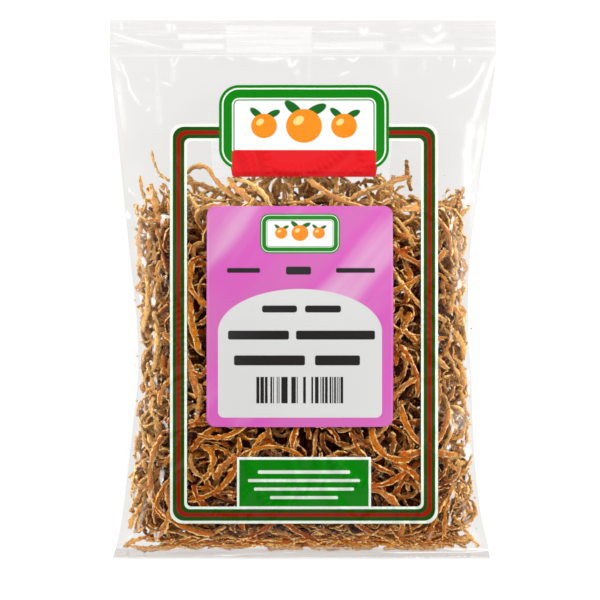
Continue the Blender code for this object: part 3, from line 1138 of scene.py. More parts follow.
@dataclass(frozen=True)
class Film:
    """The bag's film: one closed tube, front and back, with its seals and folds."""

    form: Pillow
    creases: Creases
    body_rows: int = 150
    top_rows: int = 165
    columns: int = 300
    back_columns: int = 14
    top_starts: float = 0.050
    skin: float = 0.00012
    rim_from: float = 0.64
    rim_top: float = 0.040
    rib_height: float = 0.00012
    bead_height: float = 0.0003
    pucker_height: float = 0.0007
    pucker_length: float = 0.0125
    ripple_height: float = 0.00016

    def ribs(self, x: Array, y: Array) -> Array:
        """Uneven ribs along the top seal with a bead at its lower edge, and one swell in the low seal.

        Args:
            x: places across the bag.
            y: places along the bag.

        Returns:
            The height to add.
        """
        top = np.clip((y - self.form.half_length + self.form.top_seal) / self.form.top_seal, 0, 1)
        low = np.clip((self.form.bottom_seal - y - self.form.half_length) / self.form.bottom_seal, 0, 1)
        uneven = 1 + 0.5 * np.sin(130 * x + 2 * np.sin(60 * x))
        waves = np.sin(math.pi * 5 * top) ** 2 * uneven + 0.8 * np.sin(math.pi * low)
        edge = np.exp(-(((top - 0.02) / 0.03) ** 2))
        return self.rib_height * waves + self.bead_height * edge * (top > 0)

    def puckers(self, x: Array, y: Array) -> Array:
        """Short waves that run in from both rims and die out.

        Args:
            x: places across the bag.
            y: places along the bag.

        Returns:
            The height to add.
        """
        inward = smooth_step((abs(self.form.across(x, y)) - 0.7) / 0.3)
        phase = 2 * math.pi * y / self.pucker_length + 2.2 * np.sin(38 * y + 3 * np.sign(x))
        return self.pucker_height * inward * (1 - inward) * 4 * np.sin(phase)

    def ripples(self, x: Array, y: Array) -> Array:
        """Slow waves of the slack film near the top, mostly upright.

        Args:
            x: places across the bag.
            y: places along the bag.

        Returns:
            The height to add.
        """
        slack = smooth_step((y - 0.030) / 0.02) * smooth_step((0.086 - y) / 0.008)
        waves = np.sin(150 * x + 40 * y + 2.0 * np.sin(55 * x)) + 0.7 * np.sin(-230 * x + 60 * y + 1.3)
        return self.ripple_height * slack * waves

    def front(self, x: Array, y: Array) -> Array:
        """Height of the front film, at its outer face.

        Args:
            x: places across the bag.
            y: places along the bag.

        Returns:
            The height.
        """
        slack = smooth_step((1 - abs(self.form.across(x, y))) / 0.04)
        folds = self.creases.traced(self.form, x, y, False) + self.puckers(x, y) + self.ripples(x, y)
        return self.form.front(x, y) + slack * folds + self.ribs(x, y) + self.skin

    def back(self, x: Array, y: Array) -> Array:
        """Height of the back film."""
        return self.form.back_face(x, y) - self.skin * (self.form.back_face(x, y) > 2 * self.skin)

    def spread(self, rows: Array, columns: int) -> tuple[Array, Array]:
        """The X and Y of points on rows that run from rim to rim, closer together near the rims.

        Args:
            rows: the Y of each row.
            columns: how many steps a row has.

        Returns:
            The X and Y.
        """
        left, right = self.form.rims(rows)
        share = np.linspace(0, 1, columns + 1)
        share = 0.65 * share + 0.35 * (1 - np.cos(math.pi * share)) / 2
        x = left + (right - left) * share
        return x, np.broadcast_to(rows, x.shape)

    def build(self, finish: FilmFinish) -> bpy.types.Object:
        """The closed tube: each row runs over the front and returns over the back.

        Args:
            finish: the film's finish.

        Returns:
            The piece, which stands for the CAD bag.
        """
        edge = self.form.half_length
        body = np.linspace(-edge, self.top_starts, self.body_rows, endpoint=False)
        rows = np.concatenate([body, np.linspace(self.top_starts, edge, self.top_rows)])[:, None]
        x, y = self.spread(rows, self.columns)
        front = np.stack([x, y, self.front(x, y)], 2)
        x, y = self.spread(rows, self.back_columns)
        back = np.stack([x, y, self.back(x, y)], 2)[:, ::-1]
        points = np.concatenate([front, back], 1)
        count, around = points.shape[:2]
        end = np.arange(around)[None]
        faces = [quads_of_grid(count, around, around=True), end[:, ::-1], end + (count - 1) * around]
        # The painted highlights of the front film, and the margin where painted glints may fall.
        sheen = self.creases.sheen(self.form, points)
        sheen[:, self.columns + 1 :] = 0.0
        rim = smooth_step((abs(self.form.across(points[..., 0], points[..., 1])) - self.rim_from) / 0.12)
        rim = rim * smooth_step((self.rim_top - points[..., 1]) / 0.008)
        rim[:, self.columns + 1 :] = 0.0
        values = {"sheen": sheen, "rim": rim}
        film = Piece("film", points, faces, "peel_in_film", values=values).build(finish.build())
        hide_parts("bag")
        return film


@dataclass(frozen=True)
class StripKind:
    """One way in which the peel was cut: sizes in metres, and turns over the whole length in radians."""

    length: tuple[float, float]
    width: tuple[float, float]
    thickness: tuple[float, float]
    bend: tuple[float, float]
    curl: float
    twist: float
    tilt: float


class Cut(Enum):
    """The kinds of strip in the bag."""

    STRIP = StripKind((0.014, 0.030), (0.0013, 0.0025), (0.0006, 0.0010), (0.2, 2.0), 0.5, 1.7, 0.16)
    CURL = StripKind((0.013, 0.027), (0.0012, 0.0021), (0.0006, 0.0009), (1.8, 3.8), 0.5, 1.7, 0.16)
    SHRED = StripKind((0.006, 0.016), (0.0008, 0.0015), (0.0005, 0.0008), (0.1, 2.2), 0.5, 2.2, 0.25)
    RING = StripKind((0.022, 0.034), (0.0014, 0.0021), (0.0006, 0.0009), (3.8, 5.6), 0.3, 1.2, 0.12)


class Side(Enum):
    """Where a strip lies in the heap."""

    FRONT = "against the front film"
    BACK = "against the back film"
    INSIDE = "anywhere between"


@dataclass(frozen=True)
class Laid:
    """A strip that the picture shows plainly: pixels along it, its width in pixels and how it lies."""

    through: tuple[tuple[float, float], ...]
    wide: float
    rind: bool = False
    share: float = 1.0


LAID = (
    Laid(((151, 150), (153.5, 161), (158, 171), (164, 177), (170, 181)), 2.6, False, 0.6),
    Laid(((139.6, 175.5), (141.6, 189), (145, 204), (141, 216), (137.5, 225)), 3.2, True, 0.5),
    Laid(((150, 184), (153, 197), (156, 210), (159.5, 222)), 6.6, True, 0.7),
    Laid(((141, 224), (138, 238), (139, 252), (142, 264), (146, 272)), 5.6, False, 0.6),
    Laid(((146, 221), (152, 220), (160, 221), (168, 226)), 4.0, False, 0.8),
    Laid(((156.5, 228), (160, 243), (163, 258), (168, 275)), 4.0, False, 0.8),
    Laid(((150, 230), (149, 243), (146, 258), (143, 266)), 5.5, True, 0.5),
    Laid(((165, 191), (164, 198), (160, 206), (157, 212)), 5.0, True, 0.5),
    Laid(
        (
            (186, 173), (192, 167.5), (199, 165.6), (207, 167.5),
            (213, 176), (220, 185), (231, 194), (243, 201),
        ),
        5.0, False, 0.8,
    ),
    Laid(((186, 176), (195, 182), (206, 186), (218, 191)), 5.0, False, 0.6),
    Laid(((188, 191), (202, 198), (223, 200), (240, 199)), 3.0, False, 0.8),
    Laid(((412, 176), (397, 180), (382, 185.5), (368, 190), (355, 196), (345, 203)), 5.2, True, 0.8),
    Laid(((407, 159.5), (407.5, 167), (409, 177), (412, 190)), 4.2, True, 0.6),
    Laid(((382, 191), (394, 196), (405, 203), (414, 212)), 4.0, True, 0.8),
    Laid(((279, 175), (279.5, 184), (278, 195)), 4.6, True, 0.5),
    Laid(((296, 184), (299, 178), (306, 174.5), (315, 173)), 3.8, False, 0.6),
    Laid(((313, 188), (310.5, 193), (308, 199)), 4.8, True, 0.6),
    Laid(((326, 182), (327, 189), (329, 198)), 5.4, True, 0.5),
    Laid(((341, 178), (347, 185), (353, 191)), 3.2, False, 0.5),
    Laid(((260, 181), (262, 190), (266, 200)), 4.0, True, 0.5),
    Laid(((267, 190), (271, 197), (274, 204)), 5.0, False, 0.7),
    Laid(((283, 203), (300, 202), (315, 197), (329, 192)), 4.0, False, 0.8),
    Laid(((191, 451), (199.6, 440.2), (211.8, 430), (222, 429)), 6.4, True),
    Laid(((201.6, 445.3), (210.8, 451.4), (213, 461.6), (209.8, 471.8), (203.7, 479)), 6.0, True),
    Laid(((190.4, 453.5), (191.4, 465.7), (197.6, 474), (204, 477)), 4.2, False),
    Laid(((213.9, 479), (222, 467.8), (230.2, 460.6), (237.3, 455.5)), 6.8, False),
    Laid(((197.6, 383), (200.6, 396.3), (198.6, 409.6), (196.5, 421)), 5.0, False),
    Laid(((188, 425), (199.6, 424), (207.8, 423)), 5.0, True),
    Laid(((143.5, 429), (144.5, 441), (150.6, 451.4), (157.8, 460.6), (168, 461.6)), 4.0, False, 0.8),
    Laid(((160.8, 471.8), (158.8, 483), (153.7, 493.3), (150.6, 505.5)), 5.0, False, 0.8),
    Laid(((144.5, 459.6), (144.5, 468.8), (148.6, 479), (150.6, 486)), 4.0, True, 0.6),
    Laid(((141.4, 492), (135.3, 502.4), (130.2, 512.7)), 4.0, True, 0.5),
    Laid(((143.5, 511.6), (139.4, 521.8), (139.4, 533)), 4.0, False, 0.5),
    Laid(((454, 288), (452.3, 301.4), (448.8, 314)), 6.0, False, 0.8),
    Laid(((447, 318.4), (451.4, 328.2), (458.6, 337), (463, 348), (464, 360.4)), 4.6, True, 0.7),
    Laid(((439.8, 343.4), (448, 354), (454, 365.7), (459.5, 377.3)), 3.6, False, 0.8),
    Laid(((459.5, 289), (459.5, 305), (458.6, 315.7)), 4.6, False, 0.5),
    Laid(((455, 382.7), (452.3, 395), (448, 405)), 4.0, True, 0.7),
    Laid(((437, 257.3), (440.8, 266), (448.5, 273.8), (457.3, 277.6)), 2.8, False, 0.8),
    Laid(((452.3, 232), (458.6, 240.8), (461, 251)), 5.0, True, 0.6),
    Laid(((458.6, 190), (454.8, 200), (446, 211.6)), 5.0, True, 0.6),
    Laid(((438.3, 251), (440.8, 240.8), (448.5, 232)), 5.0, False, 0.8),
    Laid(((394, 218), (402.8, 226.8), (411.7, 240.8), (413, 246)), 5.0, False),
    Laid(((394, 261), (399, 253.5), (410.4, 248.4)), 5.0, True),
    Laid(((409, 268.7), (409, 286.4), (405.3, 301.7)), 6.0, True),
    Laid(((410.4, 311.8), (404, 327), (394, 341)), 6.0, True),
    Laid(((401.5, 328.3), (411.7, 337.2), (418, 343.6)), 6.0, True),
    Laid(((123, 547), (133, 541), (145, 537), (160, 536)), 4.6, True, 0.6),
    Laid(((150, 532), (168, 531), (186, 535), (200, 537)), 3.6, False, 0.8),
    Laid(((196, 542), (208, 536), (220, 529), (226, 526)), 4.0, False, 0.8),
    Laid(((228, 549), (236, 545), (246, 537), (254, 531)), 4.4, False, 0.8),
    Laid(((350, 545), (362, 538), (376, 531), (384, 526)), 4.6, False, 0.8),
    Laid(((352, 548), (366, 548), (378, 545)), 3.6, True, 0.6),
    Laid(((390, 526), (396, 533), (403, 541), (414, 547)), 4.6, True, 0.8),
    Laid(((432, 516), (442, 531), (449, 538)), 4.0, True, 0.8),
    Laid(((445, 536), (456, 541), (466, 550)), 4.6, True, 0.6),
    Laid(((453, 516), (460, 524), (468, 534), (478, 546)), 3.6, True, 0.8),
)


@dataclass
class Strips:
    """Many strips at once: their middle lines and the directions across and through them."""

    line: Array
    wide: Array
    thick: Array
    width: Array
    thickness: Array

    @staticmethod
    def along(line: Array, roll: Array, width: float, thickness: float, flip: float = 1.0) -> "Strips":
        """One strip whose middle follows a line of points.

        Args:
            line: the points, as (step, 3).
            roll: how far it is rolled about its line, at each point.
            width: its width.
            thickness: its thickness.
            flip: 1 with the rind up, -1 with the pith up.

        Returns:
            A set of one.
        """
        ahead = np.gradient(line, axis=0)
        ahead = ahead / np.linalg.norm(ahead, axis=1, keepdims=True)
        level = np.cross(np.array([0.0, 0.0, 1.0]), ahead)
        level = level / np.linalg.norm(level, axis=1, keepdims=True)
        wide = np.cos(roll)[:, None] * level + np.sin(roll)[:, None] * np.cross(ahead, level)
        thick = np.cross(ahead, wide) * flip
        return Strips(line[None], wide[None], thick[None], np.array([width]), np.array([thickness]))

    def turned(self, angle: Array) -> None:
        """Turns each strip about the upright through its middle.

        Args:
            angle: how far, for each.
        """
        c, s = np.cos(angle)[:, None], np.sin(angle)[:, None]
        for part in (self.line, self.wide, self.thick):
            x, y = part[..., 0].copy(), part[..., 1].copy()
            part[..., 0], part[..., 1] = c * x - s * y, s * x + c * y

    def pick(self, index: int) -> "Strips":
        """One of them, as a set of one."""
        one = slice(index, index + 1)
        return Strips(self.line[one], self.wide[one], self.thick[one], self.width[one], self.thickness[one])

    @staticmethod
    def joined(sets: list["Strips"]) -> "Strips":
        """All the strips of several sets."""
        fields = ("line", "wide", "thick", "width", "thickness")
        return Strips(*(np.concatenate([getattr(s, name) for s in sets]) for name in fields))

    @staticmethod
    def drawn(kind: StripKind, count: int, steps: int, draw: np.random.Generator) -> "Strips":
        """Random strips of one kind, round the origin.

        The middle line's heading turns by its bend over the length, its slope by its curl, and the strip
        rolls about it by its twist. Each point is the last plus a step along the heading.

        Args:
            kind: how they were cut.
            count: how many.
            steps: points along each.
            draw: the source of chance.

        Returns:
            The strips.
        """
        s = np.linspace(-0.5, 0.5, steps)
        one = (count, 1)
        length = draw.uniform(*kind.length, one)
        bend = draw.uniform(*kind.bend, one) * draw.choice((-1, 1), one)
        wobble = draw.normal(0, 0.35, one) * np.sin(2 * math.pi * s + draw.uniform(*PHASES, one))
        wobble = wobble + np.cumsum(draw.normal(0, 0.14, (count, steps)), 1)
        yaw = draw.uniform(0, 2 * math.pi, one) + bend * s + wobble
        pitch = draw.normal(0, kind.tilt, one) + draw.normal(0, kind.curl, one) * s
        pitch = pitch + draw.normal(0, 0.10, one) * np.sin(3 * math.pi * s + draw.uniform(*PHASES, one))
        side = np.where(draw.random(one) < 0.55, 0.0, math.pi)
        roll = side + draw.normal(0, 0.45, one) + draw.normal(0, kind.twist, one) * s
        ahead = np.stack([np.cos(pitch) * np.cos(yaw), np.cos(pitch) * np.sin(yaw), np.sin(pitch)], 2)
        level = np.stack([-np.sin(yaw), np.cos(yaw), np.zeros_like(yaw)], 2)
        upward = np.cross(ahead, level)
        c, r = np.cos(roll)[..., None], np.sin(roll)[..., None]
        line = np.cumsum(ahead, 1) * (length / (steps - 1))[..., None]
        line = line - line.mean(1, keepdims=True)
        return Strips(
            line, c * level + r * upward, c * upward - r * level,
            draw.uniform(*kind.width, count), draw.uniform(*kind.thickness, count),
        )


@dataclass
class Heap:
    """The heap of peel, packed strip by strip against the film.

    Two maps over the bag hold how far down the strips hang from the front and how high they stand on the
    back. A new strip is tried in several random places and goes where it fits nearest to the film.
    """

    form: Pillow
    camera: Overhead
    draw: np.random.Generator = field(default_factory=lambda: np.random.default_rng(11))
    cell: float = 0.0006
    steps: int = 21
    fine: int = 40
    tries: int = 14
    skin: float = 0.0003
    squeeze: int = 24
    steep_end: float = 4.0
    dense_from: float = 0.009
    left_edge: Stations = (
        (-0.094, 0.0625), (-0.080, 0.0620), (-0.066, 0.0595), (-0.045, 0.0575),
        (-0.02, 0.0572), (0.02, 0.058), (0.06, 0.059),
    )
    right_edge: Stations = (
        (-0.094, 0.0620), (-0.080, 0.0610), (-0.055, 0.0592), (-0.02, 0.0577), (0.02, 0.0572), (0.06, 0.0585),
    )
    top_edge: float = 0.0384
    top_share: float = 0.52
    bottom_edge: float = 0.0945
    bottom_strips: int = 64
    half_width: float = 0.062
    lowest: float = -0.094
    low_top: float = -0.088
    highest: float = 0.047
    level_below: float = -0.086
    fewest_layers: float = 0.8
    layer_room: float = 0.0042
    most_thin: float = 0.0015
    # How the peel's painted shade grows with depth below the front film and fades near the heap's edge.
    deep_from: float = 0.0012
    deep_over: float = 0.0125
    edge_depth: float = 0.08
    dense_over: float = 0.011

    def __post_init__(self) -> None:
        """Lays out the maps."""
        self.x0, self.y0 = -0.072, -0.1
        nx, ny = int(0.144 / self.cell), int(0.2 / self.cell)
        x, y = np.meshgrid(self.x0 + np.arange(nx) * self.cell, self.y0 + np.arange(ny) * self.cell)
        inside = abs(y) < self.form.half_length
        self.front = np.where(inside, self.form.front(x, y) - self.skin, -1.0)
        self.back = np.where(inside, self.form.back_face(x, y) + self.skin, 1.0)
        self.hanging, self.standing = self.front.copy(), self.back.copy()
        self.layers = np.zeros(x.shape)
        self.room = self.edge_distance(x, y)
        self.made: dict[Cut, list[Strips]] = {cut: [] for cut in Cut}

    def edge_distance(self, x: Array, y: Array) -> Array:
        """Distance in from the edge of the heap, negative outside it.

        The heap ends along the side margins, along an uneven line at the top and above the bottom seal.

        Args:
            x: places across the bag.
            y: places along the bag.

        Returns:
            The distance.
        """
        sides = np.minimum(x + smooth_through(self.left_edge, y), smooth_through(self.right_edge, y) - x)
        top = self.top_edge - 2.1 * x**2 + 0.0020 * np.sin(95 * x + 1.0) + 0.0026 * np.sin(260 * x) - y
        bottom = (y + self.bottom_edge) * self.steep_end
        return np.minimum(np.minimum(sides, top * self.top_share), bottom)

    def cells(self, strips: Strips, part_wide: float = 1.0) -> tuple[Array, tuple]:
        """A close net of points over a part of each strip's width, and the map cells under them.

        Args:
            strips: the strips.
            part_wide: the part of the width.

        Returns:
            The points, and the rows and columns of the cells.
        """
        at = np.linspace(0, self.steps - 1, self.fine)
        low = np.clip(at.astype(int), 0, self.steps - 2)
        part = (at - low)[None, :, None]
        line = strips.line[:, low] * (1 - part) + strips.line[:, low + 1] * part
        wide = strips.wide[:, low] * (1 - part) + strips.wide[:, low + 1] * part
        over = np.linspace(-0.5, 0.5, 5)[None, None, :, None] * part_wide
        net = line[:, :, None] + wide[:, :, None] * (over * strips.width[:, None, None, None])
        column = ((net[..., 0] - self.x0) / self.cell + 0.5).astype(int)
        row = ((net[..., 1] - self.y0) / self.cell + 0.5).astype(int)
        rows, columns = self.front.shape
        return net, (np.clip(row, 0, rows - 1), np.clip(column, 0, columns - 1))

    def centres(self, seek: float) -> Array:
        """Random places for new strips.

        Args:
            seek: 0 for places anywhere, below 0 for places along the bottom edge, or else only where fewer
                strips than this lie over each other.

        Returns:
            The places, at no height.
        """
        if seek <= 0:
            x = self.draw.uniform(-self.half_width, self.half_width, self.tries)
            y = self.draw.uniform(self.lowest, self.low_top if seek < 0 else self.highest, self.tries)
            return np.stack([x, y, np.zeros(self.tries)], 1)
        row, column = np.nonzero((self.layers < seek) & (self.room > self.dense_from))
        pick = self.draw.integers(len(row), size=self.tries)
        x, y = self.x0 + column[pick] * self.cell, self.y0 + row[pick] * self.cell
        return np.stack([x, y, np.zeros(self.tries)], 1)

    def thin_share(self, seek: float) -> float:
        """The share of the heap where fewer strips than this lie over each other."""
        inside = self.room > self.dense_from
        return float((self.layers[inside] < seek).mean())

    def drop(self, cut: Cut, side: Side, reach: float, most_layers: float, seek: float = 0.0) -> bool:
        """Adds one strip in the best of a few random places.

        Args:
            cut: its kind.
            side: where it lies between the two films.
            reach: how far over the edge of the heap its ends may come.
            most_layers: how many strips may lie over each other away from the edge.
            seek: what the places are sought by, as centres takes it.

        Returns:
            Whether a place was found.
        """
        strips = Strips.drawn(cut.value, self.tries, self.steps, self.draw)
        centre = self.centres(seek)
        run = strips.line[:, -1] - strips.line[:, 0]
        level = self.draw.normal(0, 0.25, self.tries) - np.arctan2(run[:, 1], run[:, 0])
        strips.turned(np.where(centre[:, 1] < self.level_below, level, 0.0))
        strips.line = strips.line + centre[:, None]
        net, cell = self.cells(strips)
        room = self.room[cell]
        half = (strips.thickness / 2)[:, None, None]
        z = net[..., 2]
        axes = (1, 2)
        above = (self.hanging[cell] - z - half).reshape(self.tries, -1)
        below = (self.standing[cell] - z + half).reshape(self.tries, -1)
        most = np.partition(above, self.squeeze, axis=1)[:, self.squeeze]
        least = -np.partition(-below, self.squeeze, axis=1)[:, self.squeeze]
        most = np.minimum(most, (self.front[cell] - z).min(axes))
        least = np.maximum(least, (self.back[cell] - z).max(axes))
        share = {Side.FRONT: 1.0, Side.BACK: 0.0, Side.INSIDE: self.draw.uniform(0, 1, self.tries)}[side]
        lift = least + share * (most - least)
        z = z + lift[:, None, None]
        fits = least <= most
        if side is Side.FRONT:
            away = (self.front[cell] - z).mean(axes)
        elif side is Side.BACK and not seek:
            away = (z - self.back[cell]).mean(axes)
        else:
            away = self.layers[cell].mean(axes)
        allowed = self.fewest_layers + room / self.layer_room
        allowed = np.clip(allowed, self.fewest_layers, most_layers).mean(axes)
        fits &= (room.min(axes) > -reach) & (room.mean(axes) > 0) & (self.layers[cell].mean(axes) < allowed)
        if not fits.any():
            return False
        best = int(np.argmin(np.where(fits, away, 100.0)))
        strips.line[..., 2] += lift[:, None]
        self.settle(cut, strips.pick(best), side)
        return True

    def settle(self, cut: Cut, strip: Strips, side: Side) -> None:
        """Keeps a strip and marks the maps under it.

        Args:
            cut: its kind.
            strip: a set of one.
            side: where it lies between the two films.
        """
        net, cell = self.cells(strip)
        half = strip.thickness[0] / 2
        if side is Side.FRONT:
            np.minimum.at(self.hanging, cell, net[..., 2] - half)
        elif side is Side.BACK:
            np.maximum.at(self.standing, cell, net[..., 2] + half)
        cell = self.cells(strip, 0.7)[1]
        touched = np.unique(np.stack([cell[0].ravel(), cell[1].ravel()]), axis=1)
        self.layers[touched[0], touched[1]] += 1
        self.made[cut].append(strip)

    def press(self) -> None:
        """Lays a strip under the film along each ridge that the film shows."""
        for line in self.form.lines:
            at = np.linspace(0, len(line) - 1, self.steps)
            x = np.interp(at, np.arange(len(line)), line[:, 0])
            y = np.interp(at, np.arange(len(line)), line[:, 1])
            if self.edge_distance(x, y).min() < -0.003:
                continue
            width, thickness = self.draw.uniform(0.0014, 0.0026), self.draw.uniform(0.0006, 0.0010)
            z = self.form.front(x, y) - self.skin - thickness / 2 - 0.0002
            roll = 0.35 * np.sin(np.linspace(0, 3, self.steps) + self.draw.uniform(*PHASES))
            flip = self.draw.choice((1, 1, -1))
            strip = Strips.along(np.stack([x, y, z], 1), roll, width, thickness, flip)
            self.settle(Cut.STRIP, strip, Side.FRONT)

    def lay(self) -> None:
        """Lays the strips that the picture shows plainly.

        Each follows a smooth line through its pixels. One at share 1 lies under the front film, on a cubic
        curve along the film that is lowered until it is clear of it. Any other lies at its share of the
        height between the films.
        """
        at = np.linspace(0, 1, self.steps)
        for laid in LAID:
            knots = np.array(laid.through, float)
            places = np.linspace(0, 1, len(knots))
            column = smooth_through(tuple(zip(places, knots[:, 0])), at)
            row = smooth_through(tuple(zip(places, knots[:, 1])), at)
            x, y = self.camera.onto(self.form.front_base, column, row)
            thickness = self.draw.uniform(0.0006, 0.0009)
            front, back = self.form.front(x, y), self.form.back_face(x, y)
            if laid.share == 1.0:
                z = np.polyval(np.polyfit(at, front, 3), at)
                z = z - max((z - front).max(), 0.0) - self.skin - thickness / 2
            else:
                z = back + laid.share * (front - back)
                z = np.polyval(np.polyfit(at, z, 2), at)
            slow, quick = self.draw.uniform(*PHASES), self.draw.uniform(*PHASES)
            roll = 0.3 * np.sin(3 * at + slow) + 0.3 * np.sin(9 * at + quick)
            line = np.stack([x, y, z], 1)
            line[:, :2] += self.draw.normal(0, 0.00007, (self.steps, 2))
            strip = Strips.along(line, roll, laid.wide * PIXEL, thickness, 1.0 if laid.rind else -1.0)
            self.settle(Cut.STRIP, strip, Side.FRONT)

    def line_bottom(self) -> None:
        """Lays strips lengthwise along the bottom edge, where the bag tapers towards its seal."""
        at = np.linspace(-0.5, 0.5, self.steps)
        for middle in np.linspace(-0.053, 0.053, self.bottom_strips):
            length, slope = self.draw.uniform(0.009, 0.022), self.draw.normal(0, 0.16)
            x = middle + self.draw.normal(0, 0.001) + length * at
            wave = 0.0007 * np.sin(5 * at + self.draw.uniform(*PHASES))
            y = np.maximum(self.draw.uniform(-0.0934, -0.0895) + slope * length * at + wave, -0.0938)
            width, thickness = self.draw.uniform(0.0010, 0.0018), self.draw.uniform(0.0005, 0.0008)
            front, back = self.form.front(x, y), self.form.back_face(x, y)
            z = np.polyval(np.polyfit(at, back + self.draw.uniform(0.2, 0.9) * (front - back), 2), at)
            roll = 0.5 * np.sin(4 * at + self.draw.uniform(*PHASES))
            flip = self.draw.choice((1, -1))
            strip = Strips.along(np.stack([x, y, z], 1), roll, width, thickness, flip)
            self.settle(Cut.SHRED, strip, Side.INSIDE)

    def pack(self) -> None:
        """Fills the bag: what the picture shows, then strips against the front, the back and between.

        The plan's rows are (kind, tries, side, reach over the edge, most layers).
        """
        self.lay()
        self.line_bottom()
        self.press()
        plan = (
            (Cut.STRIP, 130, Side.FRONT, 0.004, 3.0), (Cut.CURL, 90, Side.FRONT, 0.004, 3.0),
            (Cut.RING, 16, Side.FRONT, 0.004, 3.5), (Cut.SHRED, 150, Side.FRONT, 0.006, 3.8),
            (Cut.STRIP, 130, Side.BACK, 0.003, 6.0), (Cut.CURL, 120, Side.BACK, 0.003, 6.0),
            (Cut.SHRED, 120, Side.BACK, 0.004, 7.0), (Cut.RING, 16, Side.INSIDE, 0.002, 7.0),
            (Cut.CURL, 330, Side.INSIDE, 0.003, 7.0), (Cut.STRIP, 230, Side.INSIDE, 0.003, 8.0),
            (Cut.SHRED, 260, Side.INSIDE, 0.004, 9.0),
        )
        for cut, count, side, reach, layers in plan:
            found = sum(self.drop(cut, side, reach, layers) for _ in range(count))
            LOG.info("%s %s: %d of %d", cut.name, side.value, found, count)
        cuts = (Cut.STRIP, Cut.SHRED) * 60
        found = sum(self.drop(cut, Side.INSIDE, 0.004, 5.0, -1.0) for cut in cuts)
        LOG.info("%d along the bottom", found)
        for seek, most, side in ((1.5, 330, Side.BACK), (2.5, 430, Side.INSIDE)):
            found = 0
            while found < most and self.thin_share(seek) > self.most_thin:
                cut = (Cut.STRIP, Cut.SHRED, Cut.CURL)[found % 3]
                found += self.drop(cut, side, 0.003, 12.0, seek)
                most -= 0.5
            LOG.info("%d more strips where the heap was thinner than %s", found, seek)

    def films_at(self, points: Array) -> tuple[Array, Array]:
        """Heights of the back and the front film, straight below and above points.

        Both are read from the maps, in a straight line between neighbouring cells.

        Args:
            points: places in space.

        Returns:
            The two heights.
        """
        u = np.clip((points[..., 0] - self.x0) / self.cell, 0, self.front.shape[1] - 1.001)
        v = np.clip((points[..., 1] - self.y0) / self.cell, 0, self.front.shape[0] - 1.001)
        i, j = u.astype(int), v.astype(int)
        s, t = u - i, v - j
        heights = []
        for film in (self.back, self.front):
            low = film[j, i] * (1 - s) + film[j, i + 1] * s
            high = film[j + 1, i] * (1 - s) + film[j + 1, i + 1] * s
            heights.append(low * (1 - t) + high * t)
        return heights[0], heights[1]

    def between_films(self, points: Array) -> Array:
        """The points, moved up or down where they stand out of the film.

        Args:
            points: places in space.

        Returns:
            The moved places.
        """
        back, front = self.films_at(points)
        kept = points.copy()
        kept[..., 2] = np.clip(points[..., 2], back - 0.0001, front + 0.0001)
        return kept

    def depth(self, points: Array) -> Array:
        """How deep points lie in the heap: 0 near the front film or the heap's edge, 1 far inside."""
        below = (self.films_at(points)[1] - points[..., 2] - self.deep_from) / self.deep_over
        return np.clip(below, 0, 1) * (self.edge_depth + (1 - self.edge_depth) * self.closed(points))

    def closed(self, points: Array) -> Array:
        """0 at the heap's edge, rising to 1 where the heap is dense."""
        return smooth_step(self.edge_distance(points[..., 0], points[..., 1]) / self.dense_over)


@dataclass(frozen=True)
class PeelMesh:
    """Turns strips into closed meshes: a rounded flat section carried along each middle line."""

    cup: float = 0.75
    rough: float = 0.00017

    def build(
        self, name: str, strips: Strips, heap: Heap, finish: bpy.types.Material, seed: int
    ) -> bpy.types.Object:
        """One piece from many strips.

        The section has six points round a flat oval whose middle sinks towards the pith side. The width
        follows two slow waves along the strip and a ragged one, and draws in at both ends.

        Args:
            name: the piece's name.
            strips: the strips.
            heap: the heap that they are in, whose films hold them.
            finish: their finish.
            seed: the source of chance for their small unevenness.

        Returns:
            The piece, which stands for the CAD bag together with the film.
        """
        draw = np.random.default_rng(seed)
        count, steps = strips.line.shape[:2]
        angle = (np.arange(6) + 0.5) * math.pi / 3
        across = np.sign(np.cos(angle)) * abs(np.cos(angle)) ** 0.55
        through = np.sign(np.sin(angle)) * abs(np.sin(angle)) ** 0.7
        through = through + self.cup * (across**2 - 0.5)
        s = np.linspace(0, 1, steps)[None]
        one = (count, 1)
        waves = 0.13 * np.sin(9 * s + draw.uniform(*PHASES, one))
        waves = waves + 0.10 * np.sin(23 * s + draw.uniform(*PHASES, one))
        ends = 0.62 + 0.38 * np.clip(np.minimum(s, 1 - s) * draw.uniform(8, 40, one), 0, 1) ** 0.6
        waves = waves + draw.normal(0, 0.15, (count, steps))
        width = strips.width[:, None] / 2 * (1 + waves) * ends
        body = 1 + 0.2 * np.sin(15 * s + draw.uniform(*PHASES, one))
        thickness = strips.thickness[:, None] / 2 * body * (0.6 + 0.4 * ends)
        points = (
            strips.line[:, :, None]
            + strips.wide[:, :, None] * (width[:, :, None] * across)[..., None]
            + strips.thick[:, :, None] * (thickness[:, :, None] * through)[..., None]
        )
        points = heap.between_films(points + draw.normal(0, self.rough, points.shape))
        tube = quads_of_grid(steps, 6, around=True)
        cap = np.array([[0, 1, 2, 5], [2, 3, 4, 5]])
        shell = np.concatenate([tube[:, ::-1], cap, cap[:, ::-1] + (steps - 1) * 6])
        faces = [(shell[None] + np.arange(count)[:, None, None] * steps * 6).reshape(-1, 4)]
        rind = np.broadcast_to(np.where(np.sin(angle) > 0, 1.0, 0.0), (count, steps, 6))
        tone = np.broadcast_to(draw.random(count)[:, None, None], (count, steps, 6))
        along = np.broadcast_to(s[:, :, None] * 6 + draw.random((count, 1, 1)) * 50, (count, steps, 6))
        around = np.broadcast_to(across * 0.5 + 0.5, (count, steps, 6))
        uv = np.stack([along, around], 3)
        # deep carries the painted shade deep in the heap, edge the painted light near the heap's edge.
        values = {"rind": rind, "tone": tone, "deep": heap.depth(points), "edge": 1 - heap.closed(points)}
        made = Piece(name, points, faces, "peel_in_film", {"strip": uv}, values).build(finish)
        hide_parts("bag")
        return made


